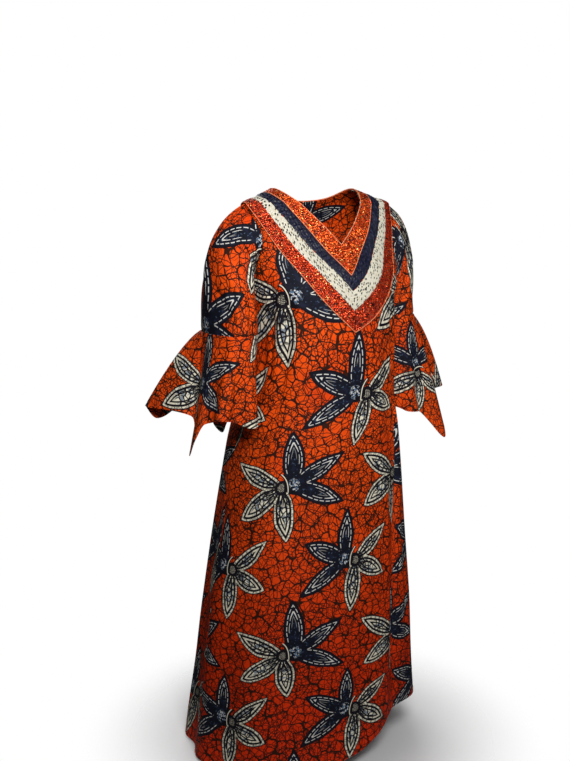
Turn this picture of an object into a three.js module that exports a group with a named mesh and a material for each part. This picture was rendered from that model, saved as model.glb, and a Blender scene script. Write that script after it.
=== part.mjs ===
// A floor-length printed cotton gown, hanging as it is worn: an A-line body in a front panel and two back
// panels, set-in sleeves that end above the elbow in a square handkerchief flounce, and a V neck edged with
// four trimming bands that run over the shoulders and round the back of the neck.
//
// Millimetres. The wearer faces -Y and the wearer's left is +X. Heights in the tables are above the floor,
// and the last lines lower the gown so that the origin is where the shoulders carry it.
// Directions round the body: 0 is the wearer's left, 90 the front, 180 the right and 270 the back.

import * as THREE from "three";

// ---- driving sizes -------------------------------------------------------------------------------------
const NECK_POINT = 1458; // height of the shoulder seam at the neck, which is the highest point
const SHOULDER_TIP = 1421; // height of the widest section at the shoulder
const CLOTH = 2; // wall of the cloth
const SEAM_GAP = 0.3; // clear space between two pieces at a seam
const ARMHOLE_GAP = 0.45; // the same where a sleeve is set in
const BAND_RISE = 0.5; // clear space between a band and the panel it lies on
const BAND_WALL = 2;

const WAIST_ROW = 930; // below this height the rows of the grid follow the hem, above it the neck
const SKIRT_ROWS = 12;
const CHEST_ROWS = 13;
const ARMHOLE_ROWS = 7; // rows below the shoulder tip that the armhole takes up
const CHEST_CROWDING = 1.35; // above 1 the chest rows crowd towards the shoulder
const COLUMN_LEAN = 1.5; // above 1 the chest's columns lean over late
const FRONT_COLUMNS = 34;
const BACK_COLUMNS = 30;
const ARMHOLE_REACH = 66; // half the armhole's width from front to back
const ARMHOLE_ROUNDING = { bottom: 0.5, top: 1.1 }; // below 1 is fuller than a half sine wave
const BAND_CURVE = 3; // power of the round part of a band's edge
const HALVINGS = 40; // enough for a height to the last digit

const SLEEVE_ROWS = 9;
const SLEEVE_HEAD_SLOPE = 0.45; // how steeply the sleeve leaves the shoulder
// How far a sleeve's cloth keeps the direction of the armhole, and then takes that of the arm, as shares of
// the way between its two ends.
const SLEEVE_HANDLES = { armhole: { under: 0.12, over: 0.36 }, cuff: { under: 0.45, over: 0.5 } };
const FLOUNCE_ROWS = 7;
const FLOUNCE_COLUMNS = 44;
const FLOUNCE_DRIFT = 20; // how far the flounce swings away from the body by its hem

// Level sections of the body: half its width, its depths before and behind, and how far its middle lies to
// the wearer's right and to the rear. square is the exponent of the superellipse: 2 is an ellipse.
const SECTIONS = [
  { height: 0, side: 322, front: 250, back: 260, square: 2.1, right: 19, rear: 16 },
  { height: 180, side: 305, front: 240, back: 243, square: 2.1, right: 15, rear: 16 },
  { height: 405, side: 283, front: 226, back: 222, square: 2.1, right: 9, rear: 12 },
  { height: 655, side: 252, front: 206, back: 194, square: 2.2, right: 4, rear: 8 },
  { height: 810, side: 228, front: 197, back: 182, square: 2.3, right: 0, rear: 3 },
  { height: 880, side: 210, front: 193, back: 172, square: 2.4, right: -2, rear: 0 },
  { height: 950, side: 193, front: 191, back: 160, square: 2.4, right: -4, rear: 0 },
  { height: 1030, side: 186, front: 190, back: 150, square: 2.4, right: -4, rear: 0 },
  { height: 1110, side: 185, front: 190, back: 142, square: 2.4, right: -4, rear: 0 },
  { height: 1192, side: 192, front: 184, back: 136, square: 2.5, right: -4, rear: 0 },
  { height: 1250, side: 203, front: 168, back: 130, square: 2.5, right: -6, rear: 0 },
  { height: 1310, side: 208, front: 127, back: 124, square: 2.5, right: -6, rear: 0 },
  { height: 1365, side: 208, front: 99, back: 110, square: 2.4, right: -8, rear: 0 },
  { height: SHOULDER_TIP, side: 206, front: 64, back: 78, square: 2.1, right: -9, rear: 0 },
  { height: 1440, side: 160, front: 53, back: 65, square: 2, right: -3, rear: 0 },
  { height: NECK_POINT, side: 113, front: 44, back: 54, square: 2, right: 5, rear: 0 },
];

// Height of the hem all round: it rides up at the wearer's left.
const HEM = [
  { toward: -85, height: 18 },
  { toward: -40, height: 66 },
  { toward: 0, height: 108 },
  { toward: 48, height: 118 },
  { toward: 65, height: 102 },
  { toward: 77, height: 72 },
  { toward: 90, height: 40 },
  { toward: 112, height: 12 },
  { toward: 150, height: 8 },
  { toward: 210, height: 8 },
];

// Long soft folds of the skirt. lift is how far each stands out at the hem, or in where it is negative.
const FOLDS = [
  { toward: 22, spread: 8, lift: -8, from: 870 },
  { toward: 43, spread: 8, lift: 12, from: 1120 },
  { toward: 59, spread: 6, lift: -19, from: 1150 },
  { toward: 83, spread: 10, lift: 8, from: 990 },
  { toward: 110, spread: 9, lift: -7, from: 850 },
  { toward: 133, spread: 10, lift: 9, from: 1050 },
  { toward: 156, spread: 8, lift: -9, from: 930 },
  { toward: 173, spread: 7, lift: 8, from: 870 },
  { toward: 190, spread: 6, lift: -14, from: 990 },
  { toward: 207, spread: 8, lift: 11, from: 950 },
  { toward: 226, spread: 8, lift: -12, from: 1050 },
  { toward: 244, spread: 8, lift: 12, from: 1100 },
  { toward: 262, spread: 7, lift: -12, from: 1010 },
  { toward: 279, spread: 8, lift: 12, from: 1110 },
  { toward: 297, spread: 8, lift: -13, from: 1050 },
  { toward: 315, spread: 8, lift: 12, from: 1010 },
  { toward: 334, spread: 8, lift: -11, from: 910 },
  { toward: 354, spread: 8, lift: 8, from: 870 },
];
const FOLD_GROWTH = 1.3; // above 1 the folds gather depth towards the hem

// Where each sleeve ends and its flounce begins. The left arm hangs a little further back than the right.
const CUFFS = {
  right: { side: -1, out: 246, back: -12, height: 1115, halfWidth: 58, halfDepth: 106 },
  left: { side: 1, out: 251, back: 41, height: 1136, halfWidth: 56, halfDepth: 97 },
};

// The edges of the four bands, from the neck edge outwards. shoulder is the half width at the shoulder seam
// and front and back are the heights at the centre lines. point is how steeply an edge leaves its centre,
// as a share of a straight line to the shoulder: 1 makes a straight V, and 0 a round curve.
const BAND_EDGES = [
  { shoulder: 113, front: 1325, pointRight: 1, pointLeft: 0.8, back: 1428, pointBack: 0.1 },
  { shoulder: 137, front: 1252, pointRight: 0.9, pointLeft: 0.7, back: 1390, pointBack: 0.15 },
  { shoulder: 162, front: 1216, pointRight: 0.84, pointLeft: 0.6, back: 1360, pointBack: 0.2 },
  { shoulder: 181, front: 1170, pointRight: 0.72, pointLeft: 0.46, back: 1324, pointBack: 0.25 },
  { shoulder: 204, front: 1118, pointRight: 0.6, pointLeft: 0.32, back: 1286, pointBack: 0.3 },
];
const BANDS = ["neck_band_inner", "neck_band_navy", "neck_band_cream", "neck_band_outer"];

// Hem of each flounce. toward is the direction round the arm, with 0 away from the body, 90 to the front
// and 180 against the body; reach is from the arm's axis, drop is below the seam, and flare below 1 throws
// the cloth out at the seam. The corners of the square are the rows with the long drops and the wing.
const FLOUNCES = {
  right: [
    { toward: -78, reach: 104, drop: 196, flare: 1.0 },
    { toward: -64, reach: 150, drop: 206, flare: 0.9 },
    { toward: -50, reach: 184, drop: 228, flare: 0.9 },
    { toward: -38, reach: 199, drop: 188, flare: 0.85 },
    { toward: -25, reach: 140, drop: 190, flare: 0.9 },
    { toward: -8, reach: 74, drop: 208, flare: 1.0 },
    { toward: 14, reach: 104, drop: 292, flare: 1.0 },
    { toward: 36, reach: 90, drop: 212, flare: 1.0 },
    { toward: 60, reach: 118, drop: 196, flare: 1.0 },
    { toward: 80, reach: 100, drop: 204, flare: 1.1 },
    { toward: 102, reach: 118, drop: 220, flare: 1.1 },
    { toward: 132, reach: 76, drop: 200, flare: 1.2 },
    { toward: 165, reach: 52, drop: 190, flare: 1.2 },
    { toward: 200, reach: 52, drop: 190, flare: 1.2 },
    { toward: 228, reach: 86, drop: 220, flare: 1.1 },
    { toward: 246, reach: 118, drop: 276, flare: 1.0 },
    { toward: 266, reach: 92, drop: 210, flare: 1.0 },
  ],
  left: [
    { toward: -72, reach: 104, drop: 216, flare: 1.0 },
    { toward: -46, reach: 140, drop: 234, flare: 0.9 },
    { toward: -22, reach: 108, drop: 210, flare: 0.9 },
    { toward: 4, reach: 166, drop: 216, flare: 0.7 },
    { toward: 28, reach: 104, drop: 226, flare: 0.85 },
    { toward: 52, reach: 156, drop: 338, flare: 0.95 },
    { toward: 76, reach: 102, drop: 264, flare: 1.0 },
    { toward: 100, reach: 114, drop: 258, flare: 1.1 },
    { toward: 132, reach: 74, drop: 232, flare: 1.2 },
    { toward: 165, reach: 52, drop: 210, flare: 1.2 },
    { toward: 200, reach: 52, drop: 206, flare: 1.2 },
    { toward: 226, reach: 84, drop: 240, flare: 1.1 },
    { toward: 243, reach: 114, drop: 298, flare: 1.0 },
    { toward: 264, reach: 92, drop: 226, flare: 1.0 },
  ],
};

const COLOURS = { print: 0xd9481c, inner: 0xc8401a, navy: 0x14162b, cream: 0xe6ddc4, outer: 0xb5331a };

// ---- numbers out of the tables -------------------------------------------------------------------------
const radians = (degrees) => (degrees * Math.PI) / 180;
const mix = (a, b, t) => a + (b - a) * t;

// A smooth curve through the rows of a table that never swings past them. period repeats it round a circle.
function curve(rows, key, value, period = 0) {
  const wrapped = period
    ? [-1, 0, 1].flatMap((turn) => rows.map((r) => ({ at: r[key] + turn * period, v: r[value] })))
    : rows.map((r) => ({ at: r[key], v: r[value] }));
  const at = wrapped.map((r) => r.at);
  const v = wrapped.map((r) => r.v);
  const slope = at.slice(1).map((x, i) => (v[i + 1] - v[i]) / (x - at[i]));
  const tangent = at.map((_, i) => {
    const [before, after] = [slope[i - 1], slope[i]];
    if (before === undefined || after === undefined) return before ?? after;
    return before * after > 0 ? (2 * before * after) / (before + after) : 0;
  });
  return (x) => {
    let i = 0;
    while (i < at.length - 2 && x > at[i + 1]) i++;
    const step = at[i + 1] - at[i];
    const t = Math.min(1, Math.max(0, (x - at[i]) / step));
    return (
      v[i] * (1 + 2 * t) * (1 - t) ** 2 +
      v[i + 1] * t * t * (3 - 2 * t) +
      step * (tangent[i] * t * (1 - t) ** 2 - tangent[i + 1] * t * t * (1 - t))
    );
  };
}

const section = Object.fromEntries(
  ["side", "front", "back", "square", "right", "rear"].map((name) => [name, curve(SECTIONS, "height", name)]),
);
const hemHeight = curve(HEM, "toward", "height", 360);

// ---- the body ------------------------------------------------------------------------------------------
function foldLift(degrees, height) {
  let lift = 0;
  for (const fold of FOLDS) {
    const away = ((degrees - fold.toward + 540) % 360) - 180;
    const grown = Math.max(0, (fold.from - height) / fold.from) ** FOLD_GROWTH;
    lift += fold.lift * grown * Math.exp(-0.5 * (away / fold.spread) ** 2);
  }
  return lift;
}

// A point of the gown's outer face, in the direction turn (radians) at a height.
function bodyPoint(turn, height) {
  const depth = Math.sin(turn) >= 0 ? section.front(height) : section.back(height);
  const power = 2 / section.square(height);
  const [c, s] = [Math.cos(turn), Math.sin(turn)];
  const out = 1 + foldLift((turn * 180) / Math.PI, height) / section.side(height);
  const x = Math.sign(c) * Math.abs(c) ** power * section.side(height) * out;
  const y = -Math.sign(s) * Math.abs(s) ** power * depth * out;
  return new THREE.Vector3(x - section.right(height), y + section.rear(height), height);
}

// The direction that the gown's outer face looks in at such a point.
function bodyNormal(turn, height) {
  const [aside, above] = [0.004, 1];
  const along = bodyPoint(turn + aside, height).sub(bodyPoint(turn - aside, height));
  const up = bodyPoint(turn, height + above).sub(bodyPoint(turn, height - above));
  return up.cross(along).normalize();
}

// How far round from the side line a panel's edge lies at a height: the seam gap, or the armhole.
function edgeTurn(height, back) {
  const share = (height - armhole.bottom) / (armhole.top - armhole.bottom);
  const rounding = mix(ARMHOLE_ROUNDING.bottom, ARMHOLE_ROUNDING.top, share);
  const open = share > 0 && share < 1 ? ARMHOLE_REACH * Math.sin(Math.PI * share) ** rounding : 0;
  const depth = back ? section.back(height) : section.front(height);
  return Math.asin((Math.max(SEAM_GAP / 2, open) / depth) ** (section.square(height) / 2));
}

// Where a panel's column meets a band's edge, as its direction and height. across runs from 0, at the
// wearer's left, to 1.
function bandPlace(edge, across, back) {
  const out = Math.cos(Math.PI * across);
  const centre = back ? edge.back : edge.front;
  const point = back ? edge.pointBack : out > 0 ? edge.pointLeft : edge.pointRight;
  const climb = point * Math.abs(out) + (1 - point) * Math.abs(out) ** BAND_CURVE;
  const height = mix(centre, shoulderHeight(edge.shoulder), climb);
  const inward = (edge.shoulder * Math.abs(out)) / section.side(height);
  const fromSide = Math.acos(Math.min(1, inward) ** (section.square(height) / 2));
  const turn = Math.max(fromSide, edgeTurn(height, back));
  return { turn: out > 0 ? turn : Math.PI - turn, height };
}

// Height of the shoulder seam at a distance from the centre line, found by halving.
function shoulderHeight(out) {
  let [low, high] = [SHOULDER_TIP, NECK_POINT];
  for (let halving = 0; halving < HALVINGS; halving++) {
    const middle = (low + high) / 2;
    if (section.side(middle) > out) low = middle;
    else high = middle;
  }
  return (low + high) / 2;
}

const chestShare = (row) => 1 - (1 - row / CHEST_ROWS) ** CHEST_CROWDING;
const armhole = { top: shoulderHeight(BAND_EDGES.at(-1).shoulder) };
armhole.bottom = mix(WAIST_ROW, armhole.top, chestShare(CHEST_ROWS - ARMHOLE_ROWS));

// The places of a column's points, from the hem to the neck edge. Between the waist and the outer band the
// column leans over to where it meets that band, and never crosses the armhole.
function columnPlaces(across, back) {
  const between = (height, share) => {
    const edge = edgeTurn(height, back);
    return { turn: mix(edge, Math.PI - edge, share), height };
  };
  const bands = BAND_EDGES.map((edge) => bandPlace(edge, across, back)).reverse();
  const hem = hemHeight(back ? (across > 0.5 ? 360 : 0) - across * 180 : across * 180);
  const places = [];
  for (let row = 0; row < SKIRT_ROWS; row++) {
    places.push(between(mix(hem, WAIST_ROW, row / SKIRT_ROWS), across));
  }
  const armholeEdge = edgeTurn(bands[0].height, back);
  const met = (bands[0].turn - armholeEdge) / (Math.PI - 2 * armholeEdge);
  for (let row = 0; row < CHEST_ROWS; row++) {
    const share = chestShare(row);
    places.push(between(mix(WAIST_ROW, bands[0].height, share), mix(across, met, share ** COLUMN_LEAN)));
  }
  return [...places, ...bands];
}

// A panel as two grids, its points and the directions they look in. Rows run from the hem up, and columns
// anticlockwise as seen from above.
function panelGrids(back) {
  const columns = back ? BACK_COLUMNS : FRONT_COLUMNS;
  const turned = back ? -1 : 1;
  const made = Array.from({ length: columns + 1 }, (_, column) => {
    return columnPlaces(back ? column / columns : 1 - column / columns, back);
  });
  const rowsOf = (make) => {
    return made[0].map((_, row) => made.map((column) => make(turned * column[row].turn, column[row].height)));
  };
  return { points: rowsOf(bodyPoint), normals: rowsOf(bodyNormal) };
}

// ---- walls out of grids --------------------------------------------------------------------------------
function tubeNormals(grid) {
  const count = grid[0].length;
  return grid.map((points, row) =>
    points.map((_, i) => {
      const along = points[(i + 1) % count].clone().sub(points[(i + count - 1) % count]);
      const above = grid[Math.min(grid.length - 1, row + 1)][i];
      const below = grid[Math.max(0, row - 1)][i];
      return along.cross(above.clone().sub(below)).normalize();
    }),
  );
}

const movedOut = (grid, normals, by) =>
  grid.map((points, row) => points.map((p, i) => p.clone().addScaledVector(normals[row][i], by)));

// A closed wall between two grids of the same shape. face lies along the normals and reverse against them.
// round joins each row's last point to its first. Each square is split along the shorter diagonal of the
// same square of guide, so that a band's triangles lie flat on those of the panels.
function wallBetween(face, reverse, round, guide = face) {
  const rows = face.length;
  const columns = face[0].length;
  const at = (layer, row, i) => (layer * rows + row) * columns + i;
  const index = [];
  const quad = (a, b, c, d, fromB = false) => index.push(...(fromB ? [b, c, d, b, d, a] : [a, b, c, a, c, d]));
  const spans = round ? columns : columns - 1;
  for (let i = 0; i < spans; i++) {
    const next = (i + 1) % columns;
    for (let row = 0; row < rows - 1; row++) {
      const rising = guide[row][i].distanceTo(guide[row + 1][next]);
      const falling = guide[row + 1][i].distanceTo(guide[row][next]);
      quad(at(0, row, i), at(0, row, next), at(0, row + 1, next), at(0, row + 1, i), falling < rising);
      quad(at(1, row, i), at(1, row + 1, i), at(1, row + 1, next), at(1, row, next), falling < rising);
    }
    quad(at(1, 0, i), at(1, 0, next), at(0, 0, next), at(0, 0, i));
    quad(at(0, rows - 1, i), at(0, rows - 1, next), at(1, rows - 1, next), at(1, rows - 1, i));
  }
  for (let row = 0; row < rows - 1 && !round; row++) {
    quad(at(0, row, 0), at(0, row + 1, 0), at(1, row + 1, 0), at(1, row, 0));
    quad(at(1, row, spans), at(1, row + 1, spans), at(0, row + 1, spans), at(0, row, spans));
  }
  const positions = [...face, ...reverse].flat().flatMap((p) => [p.x, p.y, p.z]);
  const geometry = new THREE.BufferGeometry();
  geometry.setAttribute("position", new THREE.Float32BufferAttribute(positions, 3));
  geometry.setIndex(index);
  return geometry;
}

function cloth(name, colour, geometry) {
  const material = new THREE.MeshStandardMaterial({ color: colour, roughness: 0.85, metalness: 0 });
  const mesh = new THREE.Mesh(geometry, material);
  mesh.name = name;
  return mesh;
}

// ---- panels and bands ----------------------------------------------------------------------------------
const { points: frontGrid, normals: frontNormals } = panelGrids(false);
const { points: backGrid, normals: backNormals } = panelGrids(true);

// Where the two panels are sewn together, both take the direction halfway between theirs, so that their
// walls stay apart.
frontNormals.forEach((front, row) => {
  for (const [frontEnd, backEnd] of [
    [0, BACK_COLUMNS],
    [FRONT_COLUMNS, 0],
  ]) {
    if (frontGrid[row][frontEnd].distanceTo(backGrid[row][backEnd]) > 2 * SEAM_GAP) continue;
    const shared = front[frontEnd].clone().add(backNormals[row][backEnd]).setY(0).normalize();
    front[frontEnd] = shared;
    backNormals[row][backEnd] = shared;
  }
});

function panel(name, grid, normals) {
  return cloth(name, COLOURS.print, wallBetween(grid, movedOut(grid, normals, -CLOTH), false));
}

// The back is cut in two, with a seam down its middle. side is 1 for the wearer's left half and -1 for the
// right.
function backHalf(name, side) {
  const middle = BACK_COLUMNS / 2;
  const half = (grid) => grid.map((row) => (side > 0 ? row.slice(0, middle + 1) : row.slice(middle)));
  const points = half(backGrid).map((row) => row.map((p) => p.clone()));
  for (const row of points) row.at(side > 0 ? -1 : 0).x += (side * SEAM_GAP) / 2;
  return panel(name, points, half(backNormals));
}

// A band is the panels' own rows between two of its edges, drawn in at both by half a seam gap, moved out
// and joined into a ring.
function neckBand(name, order, colour) {
  const top = SKIRT_ROWS + CHEST_ROWS + BAND_EDGES.length - 1 - order;
  const drawnIn = (from, to) => from.map((p, i) => p.clone().lerp(to[i], SEAM_GAP / p.distanceTo(to[i])));
  const rowsAbove = (by) => {
    const front = movedOut(frontGrid, frontNormals, by);
    const back = movedOut(backGrid, backNormals, by);
    return [top - 1, top].map((row) => [...front[row], ...back[row]]);
  };
  const lifted = (by) => {
    const [lower, upper] = rowsAbove(by);
    return [drawnIn(lower, upper), drawnIn(upper, lower)];
  };
  const wall = wallBetween(lifted(BAND_RISE + BAND_WALL), lifted(BAND_RISE), true, rowsAbove(0));
  return cloth(name, colour, wall);
}

// ---- sleeves -------------------------------------------------------------------------------------------
// The armhole's outline from the shoulder tip down the front and up the back, as the panels' edges make it,
// with a point added halfway along each side.
function armholeRing(side) {
  const tip = SKIRT_ROWS + CHEST_ROWS;
  const edge = (grid, atLeft) => {
    const column = atLeft ? 0 : grid[0].length - 1;
    return Array.from({ length: ARMHOLE_ROWS + 1 }, (_, i) => grid[tip - i][column]);
  };
  const front = edge(frontGrid, side < 0);
  const back = edge(backGrid, side > 0).reverse();
  const outline = [...front, ...back.slice(1, -1)];
  return outline.flatMap((p, i) => {
    const next = outline[(i + 1) % outline.length];
    return [p, p.clone().add(next).multiplyScalar(0.5)];
  });
}

// A point of the ring where the sleeve meets the flounce; toward is as in the flounce tables.
function cuffPoint(cuff, toward) {
  const [c, s] = [Math.cos(radians(toward)), Math.sin(radians(toward))];
  return new THREE.Vector3(
    cuff.side * (cuff.out + cuff.halfWidth * c),
    cuff.back - cuff.halfDepth * s,
    cuff.height,
  );
}

function sleeveGrid(cuff) {
  const ring = armholeRing(cuff.side);
  const count = ring.length;
  const columns = ring.map((armholeEdge, i) => {
    const toward = (i / count) * 360;
    const top = (1 + Math.cos(radians(toward))) / 2; // 1 at the shoulder tip and 0 at the underarm
    const start = armholeEdge.clone();
    start.x += cuff.side * ARMHOLE_GAP;
    const end = cuffPoint(cuff, toward);
    const reach = start.distanceTo(end);
    const leave = new THREE.Vector3(cuff.side, 0, -SLEEVE_HEAD_SLOPE * top).normalize();
    const { armhole: leaving, cuff: arriving } = SLEEVE_HANDLES;
    const points = [
      start,
      start.clone().addScaledVector(leave, mix(leaving.under, leaving.over, top) * reach),
      end.clone().setZ(end.z + mix(arriving.under, arriving.over, top) * reach),
      end,
    ];
    return new THREE.CubicBezierCurve3(...points).getPoints(SLEEVE_ROWS);
  });
  return columns[0].map((_, row) => columns.map((points) => points[row]));
}

// ---- flounces ------------------------------------------------------------------------------------------
// Sideways, a flounce leaves the seam at once where flare is below 1; downwards it does the reverse.
function flounceGrid(cuff, table) {
  const [reach, drop, flare] = ["reach", "drop", "flare"].map((name) => curve(table, "toward", name, 360));
  return Array.from({ length: FLOUNCE_ROWS + 1 }, (_, row) =>
    Array.from({ length: FLOUNCE_COLUMNS }, (_, i) => {
      const toward = (i / FLOUNCE_COLUMNS) * 360;
      const down = row / FLOUNCE_ROWS;
      const seam = cuffPoint(cuff, toward).setZ(cuff.height - SEAM_GAP);
      const hem = new THREE.Vector3(
        cuff.side * (cuff.out + reach(toward) * Math.cos(radians(toward))),
        cuff.back - reach(toward) * Math.sin(radians(toward)),
        seam.z,
      );
      const p = seam.lerp(hem, down ** flare(toward));
      p.x += cuff.side * FLOUNCE_DRIFT * down;
      p.z -= drop(toward) * down ** (2 - flare(toward));
      return p;
    }),
  );
}

// The wall of a tube whose grid runs round the arm; its face is the side away from the arm. The edge that is
// sewn into an armhole keeps its wall square to the seam, so that it stays clear of the panels.
function tube(name, side, grid, setIn) {
  const ordered = side > 0 ? grid.map((points) => [...points].reverse()) : grid;
  const upward = [...ordered].reverse();
  const normals = tubeNormals(upward);
  if (setIn) normals.at(-1).forEach((normal) => normal.setX(0).normalize());
  return cloth(name, COLOURS.print, wallBetween(upward, movedOut(upward, normals, -CLOTH), true));
}

// ---- the gown ------------------------------------------------------------------------------------------
const gown = new THREE.Group();
gown.add(panel("front", frontGrid, frontNormals));
gown.add(backHalf("back_left", 1));
gown.add(backHalf("back_right", -1));
for (const [name, cuff] of Object.entries(CUFFS)) {
  gown.add(tube(`sleeve_${name}`, cuff.side, sleeveGrid(cuff), true));
  gown.add(tube(`flounce_${name}`, cuff.side, flounceGrid(cuff, FLOUNCES[name]), false));
}
const bandColours = [COLOURS.inner, COLOURS.navy, COLOURS.cream, COLOURS.outer];
BANDS.forEach((name, order) => gown.add(neckBand(name, order, bandColours[order])));

// The origin lies midway between the neck ends of the two shoulder seams.
gown.position.z = -NECK_POINT;

export default gown;
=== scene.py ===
"""The looks of a printed cotton gown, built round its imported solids.

Run as a script in Blender 4.5. The pattern's tables are in millimetres, with heights above the floor, as a
dressmaker would note them; every mesh is in metres, with its origin where the shoulders carry the gown.
The wearer faces -Y and the wearer's left is +X. Directions round the body are in degrees: 0 is the wearer's
left, 90 the front, 180 the right and 270 the back.
"""

import math

import bpy
import numpy as np
from mathutils import Matrix, Vector


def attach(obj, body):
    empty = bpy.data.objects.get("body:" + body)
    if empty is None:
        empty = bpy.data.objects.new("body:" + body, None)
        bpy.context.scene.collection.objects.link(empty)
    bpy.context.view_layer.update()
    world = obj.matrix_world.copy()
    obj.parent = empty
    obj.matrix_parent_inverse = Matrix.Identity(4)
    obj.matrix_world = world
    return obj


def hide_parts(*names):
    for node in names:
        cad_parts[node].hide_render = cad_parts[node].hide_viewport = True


bl_info = {
    "name": "Printed Cotton Gown",
    "version": (1, 0, 0),
    "blender": (4, 5, 0),
    "location": "View3D > Sidebar > Gown",
    "description": "Makes a wax-print gown with flounced sleeves and a trimmed V neck round its solids",
    "category": "Add Mesh",
}

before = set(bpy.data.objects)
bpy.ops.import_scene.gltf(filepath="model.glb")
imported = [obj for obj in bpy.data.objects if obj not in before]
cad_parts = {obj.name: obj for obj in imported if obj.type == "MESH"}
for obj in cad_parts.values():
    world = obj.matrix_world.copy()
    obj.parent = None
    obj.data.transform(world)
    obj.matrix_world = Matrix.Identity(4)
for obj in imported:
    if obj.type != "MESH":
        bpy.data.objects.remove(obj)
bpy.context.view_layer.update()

# ---- the pattern's tables --------------------------------------------------------------------------------
NECK_POINT = 1458.0
SHOULDER_TIP = 1421.0
WAIST_ROW = 930.0
SKIRT_ROWS, CHEST_ROWS, ARMHOLE_ROWS, BAND_ROWS = 12, 13, 7, 4
CHEST_CROWDING = 1.35
COLUMN_LEAN = 1.5
SEAM_GAP = 0.3
ARMHOLE_REACH = 66.0
ARMHOLE_ROUNDING = (0.5, 1.1)
BAND_CURVE = 3
SLEEVE_HEAD_SLOPE = 0.45
FLOUNCE_DRIFT = 20.0
FOLD_GROWTH = 1.3
HEM_DEPTH = 18.0  # how far a hem is turned up
ARM_GIRTH = 1.5  # millimetres of cloth for each degree round an arm
SLEEVE_LENGTH = 300.0
SLEEVE_CREASING = 1.5  # how much deeper a sleeve's creases are than in their table
FLOUNCE_HEM_SHARE = 2.2  # how many times narrower a flounce's hem is than the skirt's
FLOUNCE_HEM_GIRTH = 4  # millimetres of its hem for each degree round the arm
CALM_FROM, CALM_OVER, CALMED_BY = 1215, 60, 0.8  # creases grow calm towards the bands' heights
BAND_GAP = 0.012  # share of a band's width left free at each of its edges
BAND_LIFT, SEQUIN_LIFT, CORD_LIFT = 2.3, 4.1, 3.4  # how far trimmings lie above the cloth
# Against a sequin's width: spacing and how far chance moves it. Then the share that is sewn on, and the tilt.
SEQUIN_PITCH, SEQUIN_DRIFT, SEQUINS_SEWN, SEQUIN_TILT = 0.86, 0.16, 0.93, 0.16

# height, half width, depth before, depth behind, exponent, middle to the right, middle to the rear
SECTIONS = (
    (0, 322, 250, 260, 2.1, 19, 16),
    (180, 305, 240, 243, 2.1, 15, 16),
    (405, 283, 226, 222, 2.1, 9, 12),
    (655, 252, 206, 194, 2.2, 4, 8),
    (810, 228, 197, 182, 2.3, 0, 3),
    (880, 210, 193, 172, 2.4, -2, 0),
    (950, 193, 191, 160, 2.4, -4, 0),
    (1030, 186, 190, 150, 2.4, -4, 0),
    (1110, 185, 190, 142, 2.4, -4, 0),
    (1192, 192, 184, 136, 2.5, -4, 0),
    (1250, 203, 168, 130, 2.5, -6, 0),
    (1310, 208, 127, 124, 2.5, -6, 0),
    (1365, 208, 99, 110, 2.4, -8, 0),
    (1421, 206, 64, 78, 2.1, -9, 0),
    (1440, 160, 53, 65, 2, -3, 0),
    (1458, 113, 44, 54, 2, 5, 0),
)
# direction, height of the hem
HEM = (
    (-85, 18),
    (-40, 66),
    (0, 108),
    (48, 118),
    (65, 102),
    (77, 72),
    (90, 40),
    (112, 12),
    (150, 8),
    (210, 8),
)
# direction, spread, lift at the hem, height it starts from
FOLDS = (
    (22, 8, -8, 870), (43, 8, 12, 1120), (59, 6, -19, 1150), (83, 10, 8, 990), (110, 9, -7, 850),
    (133, 10, 9, 1050), (156, 8, -9, 930), (173, 7, 8, 870), (190, 6, -14, 990), (207, 8, 11, 950),
    (226, 8, -12, 1050), (244, 8, 12, 1100), (262, 7, -12, 1010), (279, 8, 12, 1110), (297, 8, -13, 1050),
    (315, 8, 12, 1010), (334, 8, -11, 910), (354, 8, 8, 870),
)
# half width at the shoulder seam, height in front, how steeply its two halves leave the centre, height
# behind, and how steeply it leaves the centre there
BAND_EDGES = (
    (113, 1325, 1, 0.8, 1428, 0.1),
    (137, 1252, 0.9, 0.7, 1390, 0.15),
    (162, 1216, 0.84, 0.6, 1360, 0.2),
    (181, 1170, 0.72, 0.46, 1324, 0.25),
    (204, 1118, 0.6, 0.32, 1286, 0.3),
)
# side, out, back, height, half width, half depth
CUFFS = {"right": (-1, 246, -12, 1115, 58, 106), "left": (1, 251, 41, 1136, 56, 97)}
# direction round the arm, reach, drop, flare
FLOUNCES = {
    "right": (
        (-78, 104, 196, 1.0), (-64, 150, 206, 0.9), (-50, 184, 228, 0.9), (-38, 199, 188, 0.85),
        (-25, 140, 190, 0.9), (-8, 74, 208, 1.0), (14, 104, 292, 1.0), (36, 90, 212, 1.0), (60, 118, 196, 1.0),
        (80, 100, 204, 1.1), (102, 118, 220, 1.1), (132, 76, 200, 1.2), (165, 52, 190, 1.2),
        (200, 52, 190, 1.2), (228, 86, 220, 1.1), (246, 118, 276, 1.0), (266, 92, 210, 1.0),
    ),
    "left": (
        (-72, 104, 216, 1.0), (-46, 140, 234, 0.9), (-22, 108, 210, 0.9), (4, 166, 216, 0.7),
        (28, 104, 226, 0.85), (52, 156, 338, 0.95), (76, 102, 264, 1.0), (100, 114, 258, 1.1),
        (132, 74, 232, 1.2), (165, 52, 210, 1.2), (200, 52, 206, 1.2), (226, 84, 240, 1.1),
        (243, 114, 298, 1.0), (264, 92, 226, 1.0),
    ),
}

# Where the print lies on the other pieces, in metres: across for the back, across and up for the others,
# and for a flounce also the turn of its grain in degrees.
BACK_PRINT = {"back_left": 1.32, "back_right": 1.276}
SLEEVE_PRINT = {"right": (-0.142, 0.980), "left": (0.086, 0.604)}
FLOUNCE_PRINT = {"right": (-0.151, 1.149, 65), "left": (-0.380, 0.733, 148)}
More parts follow.
